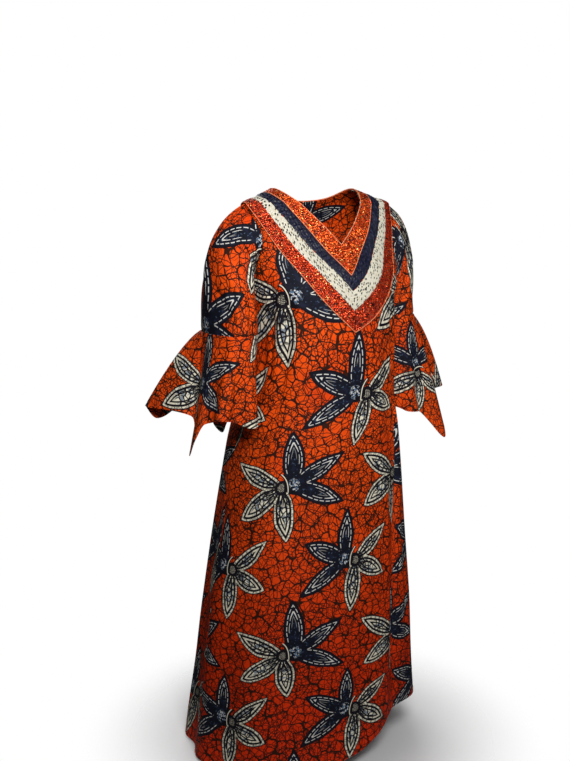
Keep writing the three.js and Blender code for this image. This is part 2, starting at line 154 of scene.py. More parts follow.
# Where making up has pulled the front's print: length up the cloth, how far up and across it is drawn,
# and by what share of its distance from the centre it is narrowed.
PRINT_DRIFT = (
    (0, -20, 0, 0), (170, -18, 0, 0), (336, 4, 0, 0), (555, 8, 0, 0), (750, -4, 0, 0), (972, 4, -24, 0.13),
    (1090, -20, -24, 0.13), (1218, -50, -24, 0.13), (1540, -70, -24, 0.13),
)
PRINT_SAG, SAG_FROM, SAG_OVER = 28.0, 150.0, 150.0  # how far the print hangs lower at the wearer's right
# The deep fold at the wearer's left: heights, its direction at each, how much cloth it swallows, and its top.
DEEP_FOLD = ((100, 198, 513, 755, 930), (60, 58.8, 56.4, 52.2, 45))
FOLD_SWALLOWS, FOLD_TOP, FOLD_RUN_IN, FOLD_LIP = 46.0, 960.0, 200.0, 2.5

# Creases of the body, each from one place to another: direction and height, twice, then its width and its
# depth, outwards where it is above 0.
BODY_CREASES = (
    # from the bust down the wearer's right
    (126, 1240, 138, 1010, 13, 3.4), (134, 1205, 149, 930, 11, -3.2), (146, 1180, 158, 960, 12, 3.0),
    (118, 1130, 124, 820, 17, 2.2), (104, 1110, 108, 800, 20, -2.0), (163, 1150, 168, 900, 10, -3.2),
    (150, 1290, 158, 950, 8, -4.0),
    # under the right armhole
    (152, 1262, 128, 1205, 8, 2.4), (158, 1240, 132, 1168, 8, -2.6), (164, 1215, 140, 1120, 9, 2.2),
    # from the bust down the wearer's left
    (58, 1225, 49, 980, 12, 3.2), (49, 1210, 40, 930, 11, -4.2), (38, 1190, 32, 960, 10, 3.4),
    (27, 1160, 24, 900, 10, -3.6), (70, 1120, 68, 830, 18, 2.2), (82, 1085, 84, 760, 20, -1.8),
    # under the left armhole
    (26, 1262, 48, 1200, 8, 2.4), (20, 1238, 44, 1158, 8, -2.6), (15, 1210, 36, 1105, 9, 2.4),
    # soft dents where the skirt leaves the hips
    (96, 905, 92, 640, 24, 2.6), (116, 880, 120, 520, 24, -2.4), (140, 900, 146, 560, 18, 3.0),
    (76, 880, 74, 560, 22, -2.2), (44, 960, 55, 600, 6, -8.0), (55, 660, 59, 120, 6, -8.0),
    (62, 760, 66, 190, 9, 5.0), (49, 700, 52, 150, 9, 5.0),
    # short dents near the hem
    (100, 330, 98, 60, 26, 2.6), (122, 300, 126, 40, 24, -3.0), (144, 340, 146, 30, 20, 2.8),
    (86, 360, 84, 90, 22, -2.6), (68, 420, 66, 120, 18, 3.0),
    # behind, from the shoulder blades down
    (214, 1235, 226, 960, 12, -3.0), (228, 1240, 238, 900, 13, 3.2), (246, 1215, 250, 860, 14, -2.8),
    (262, 1200, 261, 900, 16, 2.6), (281, 1210, 277, 840, 13, -3.2), (296, 1235, 291, 920, 13, 3.0),
    (312, 1220, 304, 880, 12, -2.8), (327, 1200, 318, 940, 12, 2.8), (198, 1150, 201, 880, 10, 2.6),
    (341, 1155, 338, 890, 10, -2.8), (204, 1262, 226, 1196, 8, 2.2), (338, 1260, 314, 1190, 8, 2.2),
    (236, 860, 232, 520, 20, 3.0), (255, 880, 256, 500, 22, -2.8), (290, 870, 294, 540, 20, 2.8),
    (308, 840, 310, 470, 18, -2.8), (217, 420, 214, 50, 20, 2.6), (270, 380, 271, 50, 24, 2.8),
    (324, 400, 326, 60, 20, 2.6),
)
# The same for a sleeve: direction round the arm and share of its length, twice, then width and depth. Where a
# sleeve is pulled round the elbow they run slantwise.
SLEEVE_CREASES = {
    "right": (
        (70, 0.18, 118, 0.34, 9, -3.0), (60, 0.30, 124, 0.47, 9, 2.8), (52, 0.46, 112, 0.62, 10, -3.2),
        (40, 0.60, 100, 0.80, 10, 3.0), (20, 0.72, 62, 0.93, 9, -2.8), (-12, 0.55, 12, 0.92, 10, 2.8),
        (-36, 0.30, -24, 0.86, 11, -3.2), (92, 0.66, 104, 0.97, 9, -2.6), (-66, 0.42, -54, 0.95, 11, 3.0),
        (228, 0.20, 268, 0.42, 10, 2.8), (222, 0.44, 262, 0.62, 10, -2.8), (246, 0.60, 272, 0.92, 10, 2.8),
    ),
    "left": (
        (66, 0.16, 122, 0.36, 9, 2.8), (58, 0.36, 118, 0.52, 10, -3.0), (44, 0.50, 96, 0.74, 10, 2.8),
        (30, 0.62, 60, 0.93, 9, -3.0), (-8, 0.40, 8, 0.90, 11, 2.8), (-38, 0.34, -30, 0.82, 11, -2.8),
        (86, 0.70, 96, 0.97, 9, 2.6), (230, 0.22, 266, 0.46, 10, -2.8), (226, 0.50, 258, 0.70, 10, 2.8),
        (-62, 0.50, -58, 0.95, 10, 2.6),
    ),
}
# Ripples of a flounce between its large waves: direction, spread in degrees, lift at the hem.
FLOUNCE_RIPPLES = {
    "right": (
        (-70, 5, 7), (-57, 4, -6), (-44, 4, 6), (-31, 5, -7), (-16, 5, 7), (3, 5, -8), (24, 5, 8), (47, 6, -9),
        (69, 4, 6), (91, 5, -9), (112, 5, 7), (121, 4, -5), (146, 8, 4), (182, 9, -4), (214, 6, 6),
        (238, 5, -7), (256, 5, 7), (275, 5, -7),
    ),
    "left": (
        (-64, 5, -6), (-52, 5, 7), (-34, 5, -7), (-12, 5, 7), (16, 5, -8), (40, 5, 8), (62, 5, -8), (88, 5, 8),
        (108, 5, -7), (122, 5, 6), (148, 8, -4), (184, 9, 4), (214, 6, -6), (236, 5, 7), (254, 5, -7),
        (273, 5, 7),
    ),
}


# ---- the gown's surface ----------------------------------------------------------------------------------
def mix(a, b, t):
    return a + (b - a) * t


def curve(at, values, period=0.0):
    """A smooth curve through a table that never swings past its values. period repeats it round a circle."""
    at, values = np.array(at, float), np.array(values, float)
    if period:
        at = np.concatenate([at - period, at, at + period])
        values = np.tile(values, 3)
    slope = np.diff(values) / np.diff(at)
    tangent = np.empty_like(values)
    tangent[0], tangent[-1] = slope[0], slope[-1]
    before, after = slope[:-1], slope[1:]
    level = before * after <= 0
    tangent[1:-1] = np.where(level, 0, 2 * before * after / np.where(level, 1, before + after))

    def read(x):
        x = np.asarray(x, float)
        i = np.clip(np.searchsorted(at, x) - 1, 0, len(at) - 2)
        step = at[i + 1] - at[i]
        t = np.clip((x - at[i]) / step, 0, 1)
        ends = values[i] * (1 + 2 * t) * (1 - t) ** 2 + values[i + 1] * t * t * (3 - 2 * t)
        return ends + step * (tangent[i] * t * (1 - t) ** 2 - tangent[i + 1] * t * t * (1 - t))

    return read


def columns_of(table, period=0.0):
    """One curve for each column of a table after the first."""
    at, *values = zip(*table)
    return [curve(at, v, period) for v in values]


section_side, section_front, section_back, section_square, section_right, section_rear = columns_of(SECTIONS)
(hem_height,) = columns_of(HEM, 360.0)


def fold_lift(degrees, height):
    lift = np.zeros(np.broadcast(degrees, height).shape)
    for toward, spread, depth, start in FOLDS:
        away = (degrees - toward + 540) % 360 - 180
        grown = np.clip((start - height) / start, 0, None) ** FOLD_GROWTH
        lift += depth * grown * np.exp(-0.5 * (away / spread) ** 2)
    return lift


def body_point(turn, height):
    """A point of the gown's outer face, in the direction turn (radians) at a height."""
    c, s = np.cos(turn), np.sin(turn)
    side = section_side(height)
    power = 2 / section_square(height)
    depth = np.where(s >= 0, section_front(height), section_back(height))
    out = 1 + fold_lift(np.degrees(turn), height) / side
    x = np.sign(c) * np.abs(c) ** power * side * out - section_right(height)
    y = -np.sign(s) * np.abs(s) ** power * depth * out + section_rear(height)
    return np.stack([x, y, height + 0 * x], -1)


def body_normal(turn, height):
    along = body_point(turn + 0.004, height) - body_point(turn - 0.004, height)
    up = body_point(turn, height + 1) - body_point(turn, height - 1)
    return unit(np.cross(up, along))


def unit(v):
    return v / np.maximum(np.linalg.norm(v, axis=-1, keepdims=True), 1e-9)


def round_length(row):
    """How far along a row of points each one lies."""
    return np.concatenate([[0], np.cumsum(np.linalg.norm(np.diff(row, axis=0), axis=-1))])


def creased(creases, x, y, turn_length, rise_length):
    """How far creases lift a cloth. The two lengths turn x, in degrees, and y into millimetres."""
    lift = np.zeros(np.broadcast(x, y).shape)
    for x0, y0, x1, y1, width, depth in creases:
        dx, dy = ((x - x0 + 180) % 360 - 180) * turn_length, (y - y0) * rise_length
        ex, ey = (x1 - x0) * turn_length, (y1 - y0) * rise_length
        length = np.sqrt(ex * ex + ey * ey)
        along = np.clip((dx * ex + dy * ey) / length**2, -0.15, 1.15)
        away = (dx * ey - dy * ex) / length
        past = np.hypot(away, (dx * ex + dy * ey) / length - along * length)
        side = np.where(away < 0, -past, past) / width
        taper = np.sin(np.pi * (np.clip(along, -0.15, 1.15) + 0.15) / 1.3) ** 1.5
        ridge = np.exp(-0.5 * side**2) - 0.4 * np.exp(-0.5 * ((side - 2.0) / 1.3) ** 2)
        lift += depth * taper * ridge
    return lift


def slow_waves(x, y):
    """A few crossing waves of unlike lengths, so that no stretch of cloth lies quite flat."""
    return (
        np.sin(x / 37 + 1.1 * np.sin(y / 91))
        + np.sin(x / 61 - y / 143 + 2.0)
        + 0.7 * np.sin(y / 53 + 1.4 * np.sin(x / 73))
        + 0.5 * np.sin(x / 23 + y / 67 + 0.6)
    )


def gown_point(turn, height, out=0.0):
    """A point of the creased gown, moved out by so many millimetres."""
    degrees = np.degrees(turn) % 360
    depth = sizes().crease_depth
    girth = np.radians(1) * section_side(height)
    lift = creased(BODY_CREASES, degrees, height, girth, 1.0) * depth
    lift += 0.45 * depth * slow_waves(degrees * girth, height)
    under_bands = np.clip((height - CALM_FROM) / CALM_OVER, 0, 1)
    lift *= 1 - under_bands * CALMED_BY
    return body_point(turn, height) + body_normal(turn, height) * (lift + out)[..., None]


def seam_pinch(away, along):
    """How a seam draws the cloth in, and how it puckers beside it."""
    away = np.abs(away)
    pucker = 0.5 * np.exp(-(((away - 7) / 5) ** 2)) * np.sin(along / 6.5 + 1.7 * np.sin(along / 41))
    return pucker - 1.1 * np.exp(-((away / 2.4) ** 2))


def hem_pinch(rise, along):
    """A hem turned up and stitched: a soft fold at its edge, and a line that the stitches draw in."""
    line = np.exp(-(((rise - HEM_DEPTH) / 4) ** 2))
    pucker = 0.35 * np.exp(-(((rise - HEM_DEPTH * 0.5) / 9) ** 2))
    pucker = pucker * np.sin(along / 4.2 + 1.3 * np.sin(along / 33))
    return pucker - 0.7 * line


_heights = np.linspace(SHOULDER_TIP, NECK_POINT, 4000)
_sides = section_side(_heights)


def shoulder_height(out):
    """Height of the shoulder seam at a distance from the centre line."""
    return np.interp(-np.asarray(out, float), -_sides, _heights)


def chest_share(row):
    return 1 - (1 - np.clip(row / CHEST_ROWS, 0, 1)) ** CHEST_CROWDING


ARMHOLE_TOP = float(shoulder_height(BAND_EDGES[-1][0]))
ARMHOLE_BOTTOM = float(mix(WAIST_ROW, ARMHOLE_TOP, chest_share(CHEST_ROWS - ARMHOLE_ROWS)))


def edge_turn(height, back):
    """How far round from the side line a panel's edge lies: the seam gap, or the armhole."""
    share = np.clip((height - ARMHOLE_BOTTOM) / (ARMHOLE_TOP - ARMHOLE_BOTTOM), 0, 1)
    rounding = mix(*ARMHOLE_ROUNDING, share)
    gap = ARMHOLE_REACH * np.sin(np.pi * share) ** rounding
    depth = section_back(height) if back else section_front(height)
    return np.arcsin((np.maximum(SEAM_GAP / 2, gap) / depth) ** (section_square(height) / 2))


def band_place(edge, across, back):
    """Where a panel's column meets a band's edge: 0 is the outer band's outer edge, and 4 the neck's."""
    steps = np.arange(len(BAND_EDGES))
    columns = (np.interp(edge, steps, v[::-1]) for v in zip(*BAND_EDGES))
    shoulder, front, right, left, behind, round_back = columns
    out = math.cos(math.pi * across)
    centre = behind if back else front
    point = round_back if back else (left if out > 0 else right)
    climb = point * abs(out) + (1 - point) * abs(out) ** BAND_CURVE
    height = mix(centre, shoulder_height(shoulder), climb)
    inward = np.minimum(1, shoulder * abs(out) / section_side(height))
    turn = np.maximum(np.arccos(inward ** (section_square(height) / 2)), edge_turn(height, back))
    return (turn if out > 0 else np.pi - turn), height


def panel_place(across, rows, back):
    """Directions and heights of a column's points. rows run from 0 at the hem to 29 at the neck's edge."""
    sign = -1 if back else 1
    hem = hem_height((360 if across > 0.5 else 0) - across * 180 if back else across * 180)
    tip_turn, tip_height = band_place(np.array([0.0]), across, back)
    tip_edge = edge_turn(tip_height, back)
    met = (tip_turn - tip_edge) / (np.pi - 2 * tip_edge)
    share = chest_share(rows - SKIRT_ROWS)
    in_skirt = rows < SKIRT_ROWS
    height = np.where(in_skirt, mix(hem, WAIST_ROW, rows / SKIRT_ROWS), mix(WAIST_ROW, tip_height, share))
    edge = edge_turn(height, back)
    lean = np.where(in_skirt, across, mix(across, met, share**COLUMN_LEAN))
    turn = mix(edge, np.pi - edge, lean)
    band_turn, band_height = band_place(rows - SKIRT_ROWS - CHEST_ROWS, across, back)
    banded = rows >= SKIRT_ROWS + CHEST_ROWS
    return sign * np.where(banded, band_turn, turn), np.where(banded, band_height, height)


def crowded(count):
    """Shares from 0 to 1 that lie closer together at both ends, where the seams are."""
    t = np.linspace(0, 1, count)
    return t - 0.6 * np.sin(2 * np.pi * t) / (2 * np.pi)


def panel_grid(back, across, rows):
    """Directions and heights of a panel's points. across runs from 0, at the wearer's left, to 1."""
    placed = [panel_place(a, rows, back) for a in across]
    return np.stack([p[0] for p in placed], 1), np.stack([p[1] for p in placed], 1)


def cloth_lengths(back):
    """Tables of the print's place on a panel: girth from the centre line, and length up the centre."""
    heights = np.linspace(0, NECK_POINT, 140)
    turns = np.linspace(0, np.pi, 361)
    sign = -1 if back else 1
    points = body_point(sign * turns[None, :], heights[:, None])
    steps = np.linalg.norm(np.diff(points, axis=1), axis=-1)
    girth = np.concatenate([np.zeros((140, 1)), np.cumsum(steps, 1)], 1)
    girth = girth[:, 180:181] - girth
    return heights, girth, round_length(points[:, 180])


def print_place(back, turn, height):
    """Where a panel's points lie on the flat cloth, in metres."""
    heights, girth, rise = cloth_lengths(back)
    h = np.clip(height / NECK_POINT * 139, 0, 138.999)
    t = np.clip(np.abs(turn) / np.pi * 360, 0, 359.999)
    i, j = h.astype(int), t.astype(int)
    a, b = h - i, t - j
    u = mix(mix(girth[i, j], girth[i, j + 1], b), mix(girth[i + 1, j], girth[i + 1, j + 1], b), a)
    v = np.interp(height, heights, rise)
    if not back:
        drawn_up, drawn_across, narrowed = (column(v) for column in columns_of(PRINT_DRIFT))
        beyond = np.clip((np.interp(height, *DEEP_FOLD) - np.degrees(np.abs(turn))) / FOLD_LIP + 0.5, 0, 1)
        swallowed = FOLD_SWALLOWS * beyond * np.clip((FOLD_TOP - height) / FOLD_RUN_IN, 0, 1)
        sagged = np.clip((-u - SAG_FROM) / SAG_OVER, 0, 1)
        u = u * (1 - narrowed) + drawn_across + swallowed
        v = v + drawn_up + PRINT_SAG * sagged**2 * (3 - 2 * sagged)
    return np.stack([u, v], -1) / 1000


# ---- sleeves and flounces --------------------------------------------------------------------------------
def armhole_point(side, share):
    """A point of the armhole's outline, from the shoulder tip down the front and up the back."""
    share = share % 1
    down = 1 - np.abs(2 * share - 1)
    height = mix(WAIST_ROW, ARMHOLE_TOP, chest_share(CHEST_ROWS - ARMHOLE_ROWS * down))
    front, back = edge_turn(height, False), edge_turn(height, True)
    turn = np.where(share <= 0.5, front, -back)
    turn = turn if side > 0 else np.where(share <= 0.5, np.pi - front, np.pi + back)
    return gown_point(turn, height)


def cuff_point(cuff, toward):
    side, out, back, height, half_width, half_depth = cuff
    angle = np.radians(toward)
    x, y = side * (out + half_width * np.cos(angle)), back - half_depth * np.sin(angle)
    return np.stack([x, y, height + 0 * x], -1)


def sleeve_points(cuff, shares, lengths):
    """Rows from the armhole to the cuff, columns round the arm."""
    toward = shares * 360
    top = (1 + np.cos(np.radians(toward))) / 2
    start = armhole_point(cuff[0], shares)
    start[:, 0] += cuff[0] * 0.3
    end = cuff_point(cuff, toward)
    reach = np.linalg.norm(end - start, axis=-1)[:, None]
    leave = unit(np.stack([cuff[0] + 0 * top, 0 * top, -SLEEVE_HEAD_SLOPE * top], -1))
    first = start + leave * mix(0.12, 0.36, top)[:, None] * reach
    second = end + np.array([0, 0, 1]) * mix(0.45, 0.5, top)[:, None] * reach
    t = lengths[:, None, None]
    return start * (1 - t) ** 3 + 3 * first * t * (1 - t) ** 2 + 3 * second * t * t * (1 - t) + end * t**3


def flounce_points(cuff, table, toward, downs):
    """Rows from the seam to the hem, columns round the arm."""
    reach, drop, flare = (c(toward) for c in columns_of(table, 360.0))
    seam = cuff_point(cuff, toward)
    seam[:, 2] -= SEAM_GAP
    hem = np.stack([
        cuff[0] * (cuff[1] + reach * np.cos(np.radians(toward))),
        cuff[2] - reach * np.sin(np.radians(toward)),
        seam[:, 2],
    ], -1)
    down = downs[:, None]
    points = mix(seam[None], hem[None], (down**flare)[..., None])
    points[..., 0] += cuff[0] * FLOUNCE_DRIFT * down
    points[..., 2] -= drop * down ** (2 - flare)
    return points


def grid_normals(points, closed):
    """The directions that a grid's points look in, where its last column repeats its first if it is closed."""
    up = np.gradient(points, axis=0)
    along = np.gradient(points, axis=1)
    if closed:
        along[:, 0] = along[:, -1] = (points[:, 1] - points[:, -2]) / 2
    return unit(np.cross(along, up))


# ---- meshes ----------------------------------------------------------------------------------------------
def placed(points):
    """Millimetres above the floor to metres in the part's frame."""
    return (points - np.array([0, 0, NECK_POINT])) / 1000


def grid_object(name, points, uv):
    """A cloth out of a grid of points, rows upwards and columns anticlockwise as seen from above."""
    rows, columns = points.shape[:2]
    at = np.arange(rows * columns).reshape(rows, columns)
    quads = np.stack([at[:-1, :-1], at[:-1, 1:], at[1:, 1:], at[1:, :-1]], -1).reshape(-1, 4)
    mesh = bpy.data.meshes.new(name)
    mesh.from_pydata(placed(points).reshape(-1, 3).tolist(), [], quads.tolist())
    layer = mesh.uv_layers.new(name="cloth")
    layer.data.foreach_set("uv", uv.reshape(-1, 2)[quads.reshape(-1)].astype(np.float32).reshape(-1))
    piece = bpy.data.objects.new(name, mesh)
    bpy.context.scene.collection.objects.link(piece)
    return piece


def only(piece):
    bpy.ops.object.select_all(action="DESELECT")
    bpy.context.view_layer.objects.active = piece
    piece.select_set(True)


def dressed(piece, material):
    """Gives a piece its material, and says what it belongs to."""
    piece.data.materials.append(material)
    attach(piece, "root")


def finish_cloth(piece, node, thickness, material):
    """Gives a cloth its wall inwards, a smooth face and a material, and hides the solid that it stands for."""
    only(piece)
    wall = piece.modifiers.new("wall", "SOLIDIFY")
    wall.thickness, wall.offset, wall.use_even_offset = thickness, -1, False
    bpy.ops.object.modifier_apply(modifier="wall")
    bpy.ops.object.shade_smooth_by_angle(angle=math.radians(50))
    dressed(piece, material)
    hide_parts(node)


def arm_object(node, cuff, points, uv, lift):
    """A sleeve or flounce out of rows that run down the arm, lifted by its creases."""
    round_arm = slice(None, None, -1) if cuff[0] > 0 else slice(None)
    points, uv, lift = (grid[::-1, round_arm] for grid in (points, uv, lift))
    return grid_object(f"gown_{node}", points + grid_normals(points, True) * lift[..., None], uv)


# ---- shader maths ----------------------------------------------------------------------------------------
def by_node(operation, swapped=False):
    """A Wire's method that is one Math node, with its two inputs swapped if need be."""

    def method(self, *others):
        inputs = (*others, self) if swapped else (self, *others)
        return self.board.maths(operation, *inputs)

    return method


class Wire:
    """A socket that carries a number, a vector or a colour."""

    def __init__(self, board, socket):
        self.board, self.socket = board, socket

    __add__ = __radd__ = by_node("ADD")
    __mul__ = __rmul__ = by_node("MULTIPLY")
    __sub__, __rsub__ = by_node("SUBTRACT"), by_node("SUBTRACT", swapped=True)
    __truediv__ = by_node("DIVIDE")
    __gt__, __lt__ = by_node("GREATER_THAN"), by_node("LESS_THAN")
    __or__, __and__ = by_node("MAXIMUM"), by_node("MINIMUM")
    absolute, root, sine = by_node("ABSOLUTE"), by_node("SQRT"), by_node("SINE")

    def wrapped(self, length):
        """Repeats a number from minus half a length to half a length."""
        return self.board.maths("WRAP", self, length / 2, -length / 2)

    def rise(self, low, high):
        """0 up to low, 1 from high, and smooth between them."""
        values = {"Value": self, "From Min": low, "From Max": high}
        return self.board.node("ShaderNodeMapRange", {"interpolation_type": "SMOOTHSTEP"}, values)

    def fall(self, low, high):
        return 1 - self.rise(low, high)

    def between(self, low, high, soft):
        return self.rise(low - soft, low + soft) * self.fall(high - soft, high + soft)

    def dot(self, x, y):
        values = {0: self, 1: (x, y, 0)}
        return self.board.node("ShaderNodeVectorMath", {"operation": "DOT_PRODUCT"}, values, "Value")


class Board:
    """The nodes of one material, with a Principled shader whose fixed values are given."""

    def __init__(self, name, **fixed):
        self.material = bpy.data.materials.new(name)
        self.material.use_nodes = True
        self.tree = self.material.node_tree
        self.shader = self.tree.nodes["Principled BSDF"]
        self.count = 0
        for key, value in fixed.items():
            self.shader.inputs[key.replace("_", " ").title().replace("Ior", "IOR")].default_value = value

    def node(self, kind, settings=None, values=None, output=0):
        made = self.tree.nodes.new(kind)
        made.location = (-200 - 180 * (self.count // 12), 400 - 150 * (self.count % 12))
        self.count += 1
        for key, value in (settings or {}).items():
            setattr(made, key, value)
        for key, value in (values or {}).items():
            if isinstance(value, Wire):
                self.tree.links.new(value.socket, made.inputs[key])
            else:
                made.inputs[key].default_value = value
        return Wire(self, made.outputs[output])

    def maths(self, operation, *values):
        return self.node("ShaderNodeMath", {"operation": operation}, dict(enumerate(values)))

    def vector(self, x, y, z=0.0):
        return self.node("ShaderNodeCombineXYZ", None, {0: x, 1: y, 2: z})

    def blend(self, factor, a, b):
        """Colour a, or b where factor is 1."""
        return self.node("ShaderNodeMix", {"data_type": "RGBA"}, {0: factor, 6: a, 7: b}, 2)

    def noise(self, place, scale, detail=2.0, output=0):
        values = {"Vector": place, "Scale": scale, "Detail": detail}
        return self.node("ShaderNodeTexNoise", None, values, output)

    def cells(self, place, scale, feature="DISTANCE_TO_EDGE", output=0, randomness=1.0):
        values = {"Vector": place, "Scale": scale, "Randomness": randomness}
        settings = {"feature": feature, "voronoi_dimensions": "2D"}
        return self.node("ShaderNodeTexVoronoi", settings, values, output)

    def shifted(self, place, by, scale, detail=1.0):
        """place moved about by a noise."""
        drift = self.noise(place, scale, detail, 1)
        centred = self.node("ShaderNodeVectorMath", {"operation": "SUBTRACT"}, {0: drift, 1: (0.5, 0.5, 0.5)})
        values = {0: centred, 1: (by, by, by), 2: place}
        return self.node("ShaderNodeVectorMath", {"operation": "MULTIPLY_ADD"}, values)

    def split(self, place):
        made = self.node("ShaderNodeSeparateXYZ", None, {0: place})
        outputs = made.socket.node.outputs
        return Wire(self, outputs[0]), Wire(self, outputs[1])

    def uv(self):
        return self.node("ShaderNodeUVMap", {"uv_map": "cloth"})

    def own_place(self):
        return self.node("ShaderNodeTexCoord", None, None, "Object")

    def finish(self, colour, roughness, height, distance, strength=1.0):
        for key, wire in {"Base Color": colour, "Roughness": roughness}.items():
            self.tree.links.new(wire.socket, self.shader.inputs[key])
        if height is not None:
            values = {"Height": height, "Distance": distance, "Strength": strength}
            bump = self.node("ShaderNodeBump", None, values)
            self.tree.links.new(bump.socket, self.shader.inputs["Normal"])
        return self.material


# ---- the wax print ---------------------------------------------------------------------------------------
# Petals of the two kinds of pair, in millimetres and degrees: direction, length, half width. The dark flower's
# petals leave its own centre, and the pale one's theirs. The second kind is drawn mirrored.
DARK_PETALS = (
    ((86, 120, 20), (156, 112, 23), (216, 144, 20)),
    ((88, 134, 25), (147, 140, 21), (200, 132, 23)),
)
PALE_PETALS = (
    ((35, 122, 18), (-28, 104, 23), (-98, 130, 22)),
    ((30, 142, 21), (-28, 126, 25), (-95, 126, 24)),
)
DARK_CENTRE = (-16, 2)
PALE_CENTRE = (14, -4)
DARK_FOOT, PALE_FOOT = 20, 6  # how far behind its flower's centre a petal starts
PARTING = (52, -10, 54)  # middle and radius of the pale line that parts the two flowers
THREAD = 0.0011  # spacing of the weave's threads, in metres


def petal(place, centre, foot, mirrored, direction, length, half_width):
    """How far a point lies inside a petal's outline, along it and from its midrib, and the petal's length."""
    flip = -1 if mirrored else 1
    angle = math.radians(direction)
    x, y = flip * math.cos(angle), math.sin(angle)
    cx, cy = flip * centre[0] / 1000, centre[1] / 1000
    length, half_width, foot = length / 1000, half_width / 1000, foot / 1000
    along = place.dot(x, y) - (cx * x + cy * y)
    aside = (place.dot(-y, x) - (cy * x - cx * y)).absolute()
    radius = ((length + foot) ** 2 / 4 + half_width**2) / (2 * half_width)
    from_middle = along - (length - foot) / 2
    from_axis = aside + (radius - half_width)
    inside = radius - (from_middle * from_middle + from_axis * from_axis).root()
    return inside, along, aside, length


def union(wires):
    total = wires[0]
    for wire in wires[1:]:
        total = total | wire
    return total


def dark_petal(inside, along, size):
    """White lines of a dark petal: a broken contour, and a chevron inside it that is boldest at its tip."""
    dashes = (along * (2 * math.pi / 0.0150)).sine().rise(-0.72, -0.5)
    contour = inside.between(0.0048, 0.0066, 0.0004) * dashes
    tip = along.rise(size * 0.60, size * 0.80) * 0.0020
    near = inside - 0.0118
    chevron = (near > -0.0002) * (near < tip + 0.0010) * along.rise(size * 0.36, size * 0.42)
    broken = (along * (2 * math.pi / 0.031) + 1.0).sine().rise(-0.9, -0.7)
    heart = inside.between(0.0180, 0.0190, 0.0003) * along.rise(size * 0.46, size * 0.52) * 0.45
    return (contour | chevron * broken | heart) * along.rise(size * 0.18, size * 0.24)


def pale_petal(inside, along, aside, size):
    """Dark lines of a pale petal: a bold contour, a chevron, nicks in its rim and rays from its foot."""
    contour = inside.between(0.0042, 0.0092, 0.0004)
    chevron = inside.between(0.0134, 0.0170, 0.0004)
    nicks = (along * (2 * math.pi / 0.0152)).sine().rise(0.90, 0.97) * inside.fall(0.0044, 0.0052)
    rays = (aside / (along + 0.006) * 34).sine().rise(0.1, 0.5) * along.fall(size * 0.26, size * 0.42)
    return contour | chevron | nicks | rays * inside.rise(0.0014, 0.002)


def flower_pair(board, place, mirrored):
    """Masks of a pair of flowers: the dark one, its white lines, the pale one, its dark lines, how far towards
    its tips a pale petal's point lies, the distances from the two centres, and the line that parts them."""
    dark, white, pale, line, tips = [], [], [], [], []
    for shape in DARK_PETALS[mirrored]:
        inside, along, aside, size = petal(place, DARK_CENTRE, DARK_FOOT, mirrored, *shape)
        dark.append(inside)
        white.append(dark_petal(inside, along, size) * (inside > 0))
    for shape in PALE_PETALS[mirrored]:
        inside, along, aside, size = petal(place, PALE_CENTRE, PALE_FOOT, mirrored, *shape)
        pale.append(inside)
        line.append(pale_petal(inside, along, aside, size) * (inside > 0))
        tips.append(along.rise(size * 0.60, size * 0.74) * (inside > 0))
    flip = -1 if mirrored else 1
    x, y = board.split(place)
    reach = []
    for cx, cy in (DARK_CENTRE, PALE_CENTRE, PARTING[:2]):
        dx, dy = x - flip * cx / 1000, y - cy / 1000
        reach.append((dx * dx + dy * dy).root())
    parting = (reach[2] - PARTING[2] / 1000).absolute() + reach[1].rise(0.033, 0.036) * 0.1
    parting = parting + union(pale).rise(-0.001, 0) * 0.1 + (flip * x > 0.034) * 0.1
    return union(dark), union(white), union(pale), union(line), union(tips), reach[0], reach[1], parting


def rounded_net(board, place, scale, line, fill):
    """Dark lines between islands whose corners are filled. line and fill are shares of an island's width."""
    edge = board.cells(place, scale)
    corner = board.cells(place, scale, "F1").rise(0.5, 0.85)
    limit = line + corner * fill
    return 1 - edge.rise(limit, limit + 0.025)


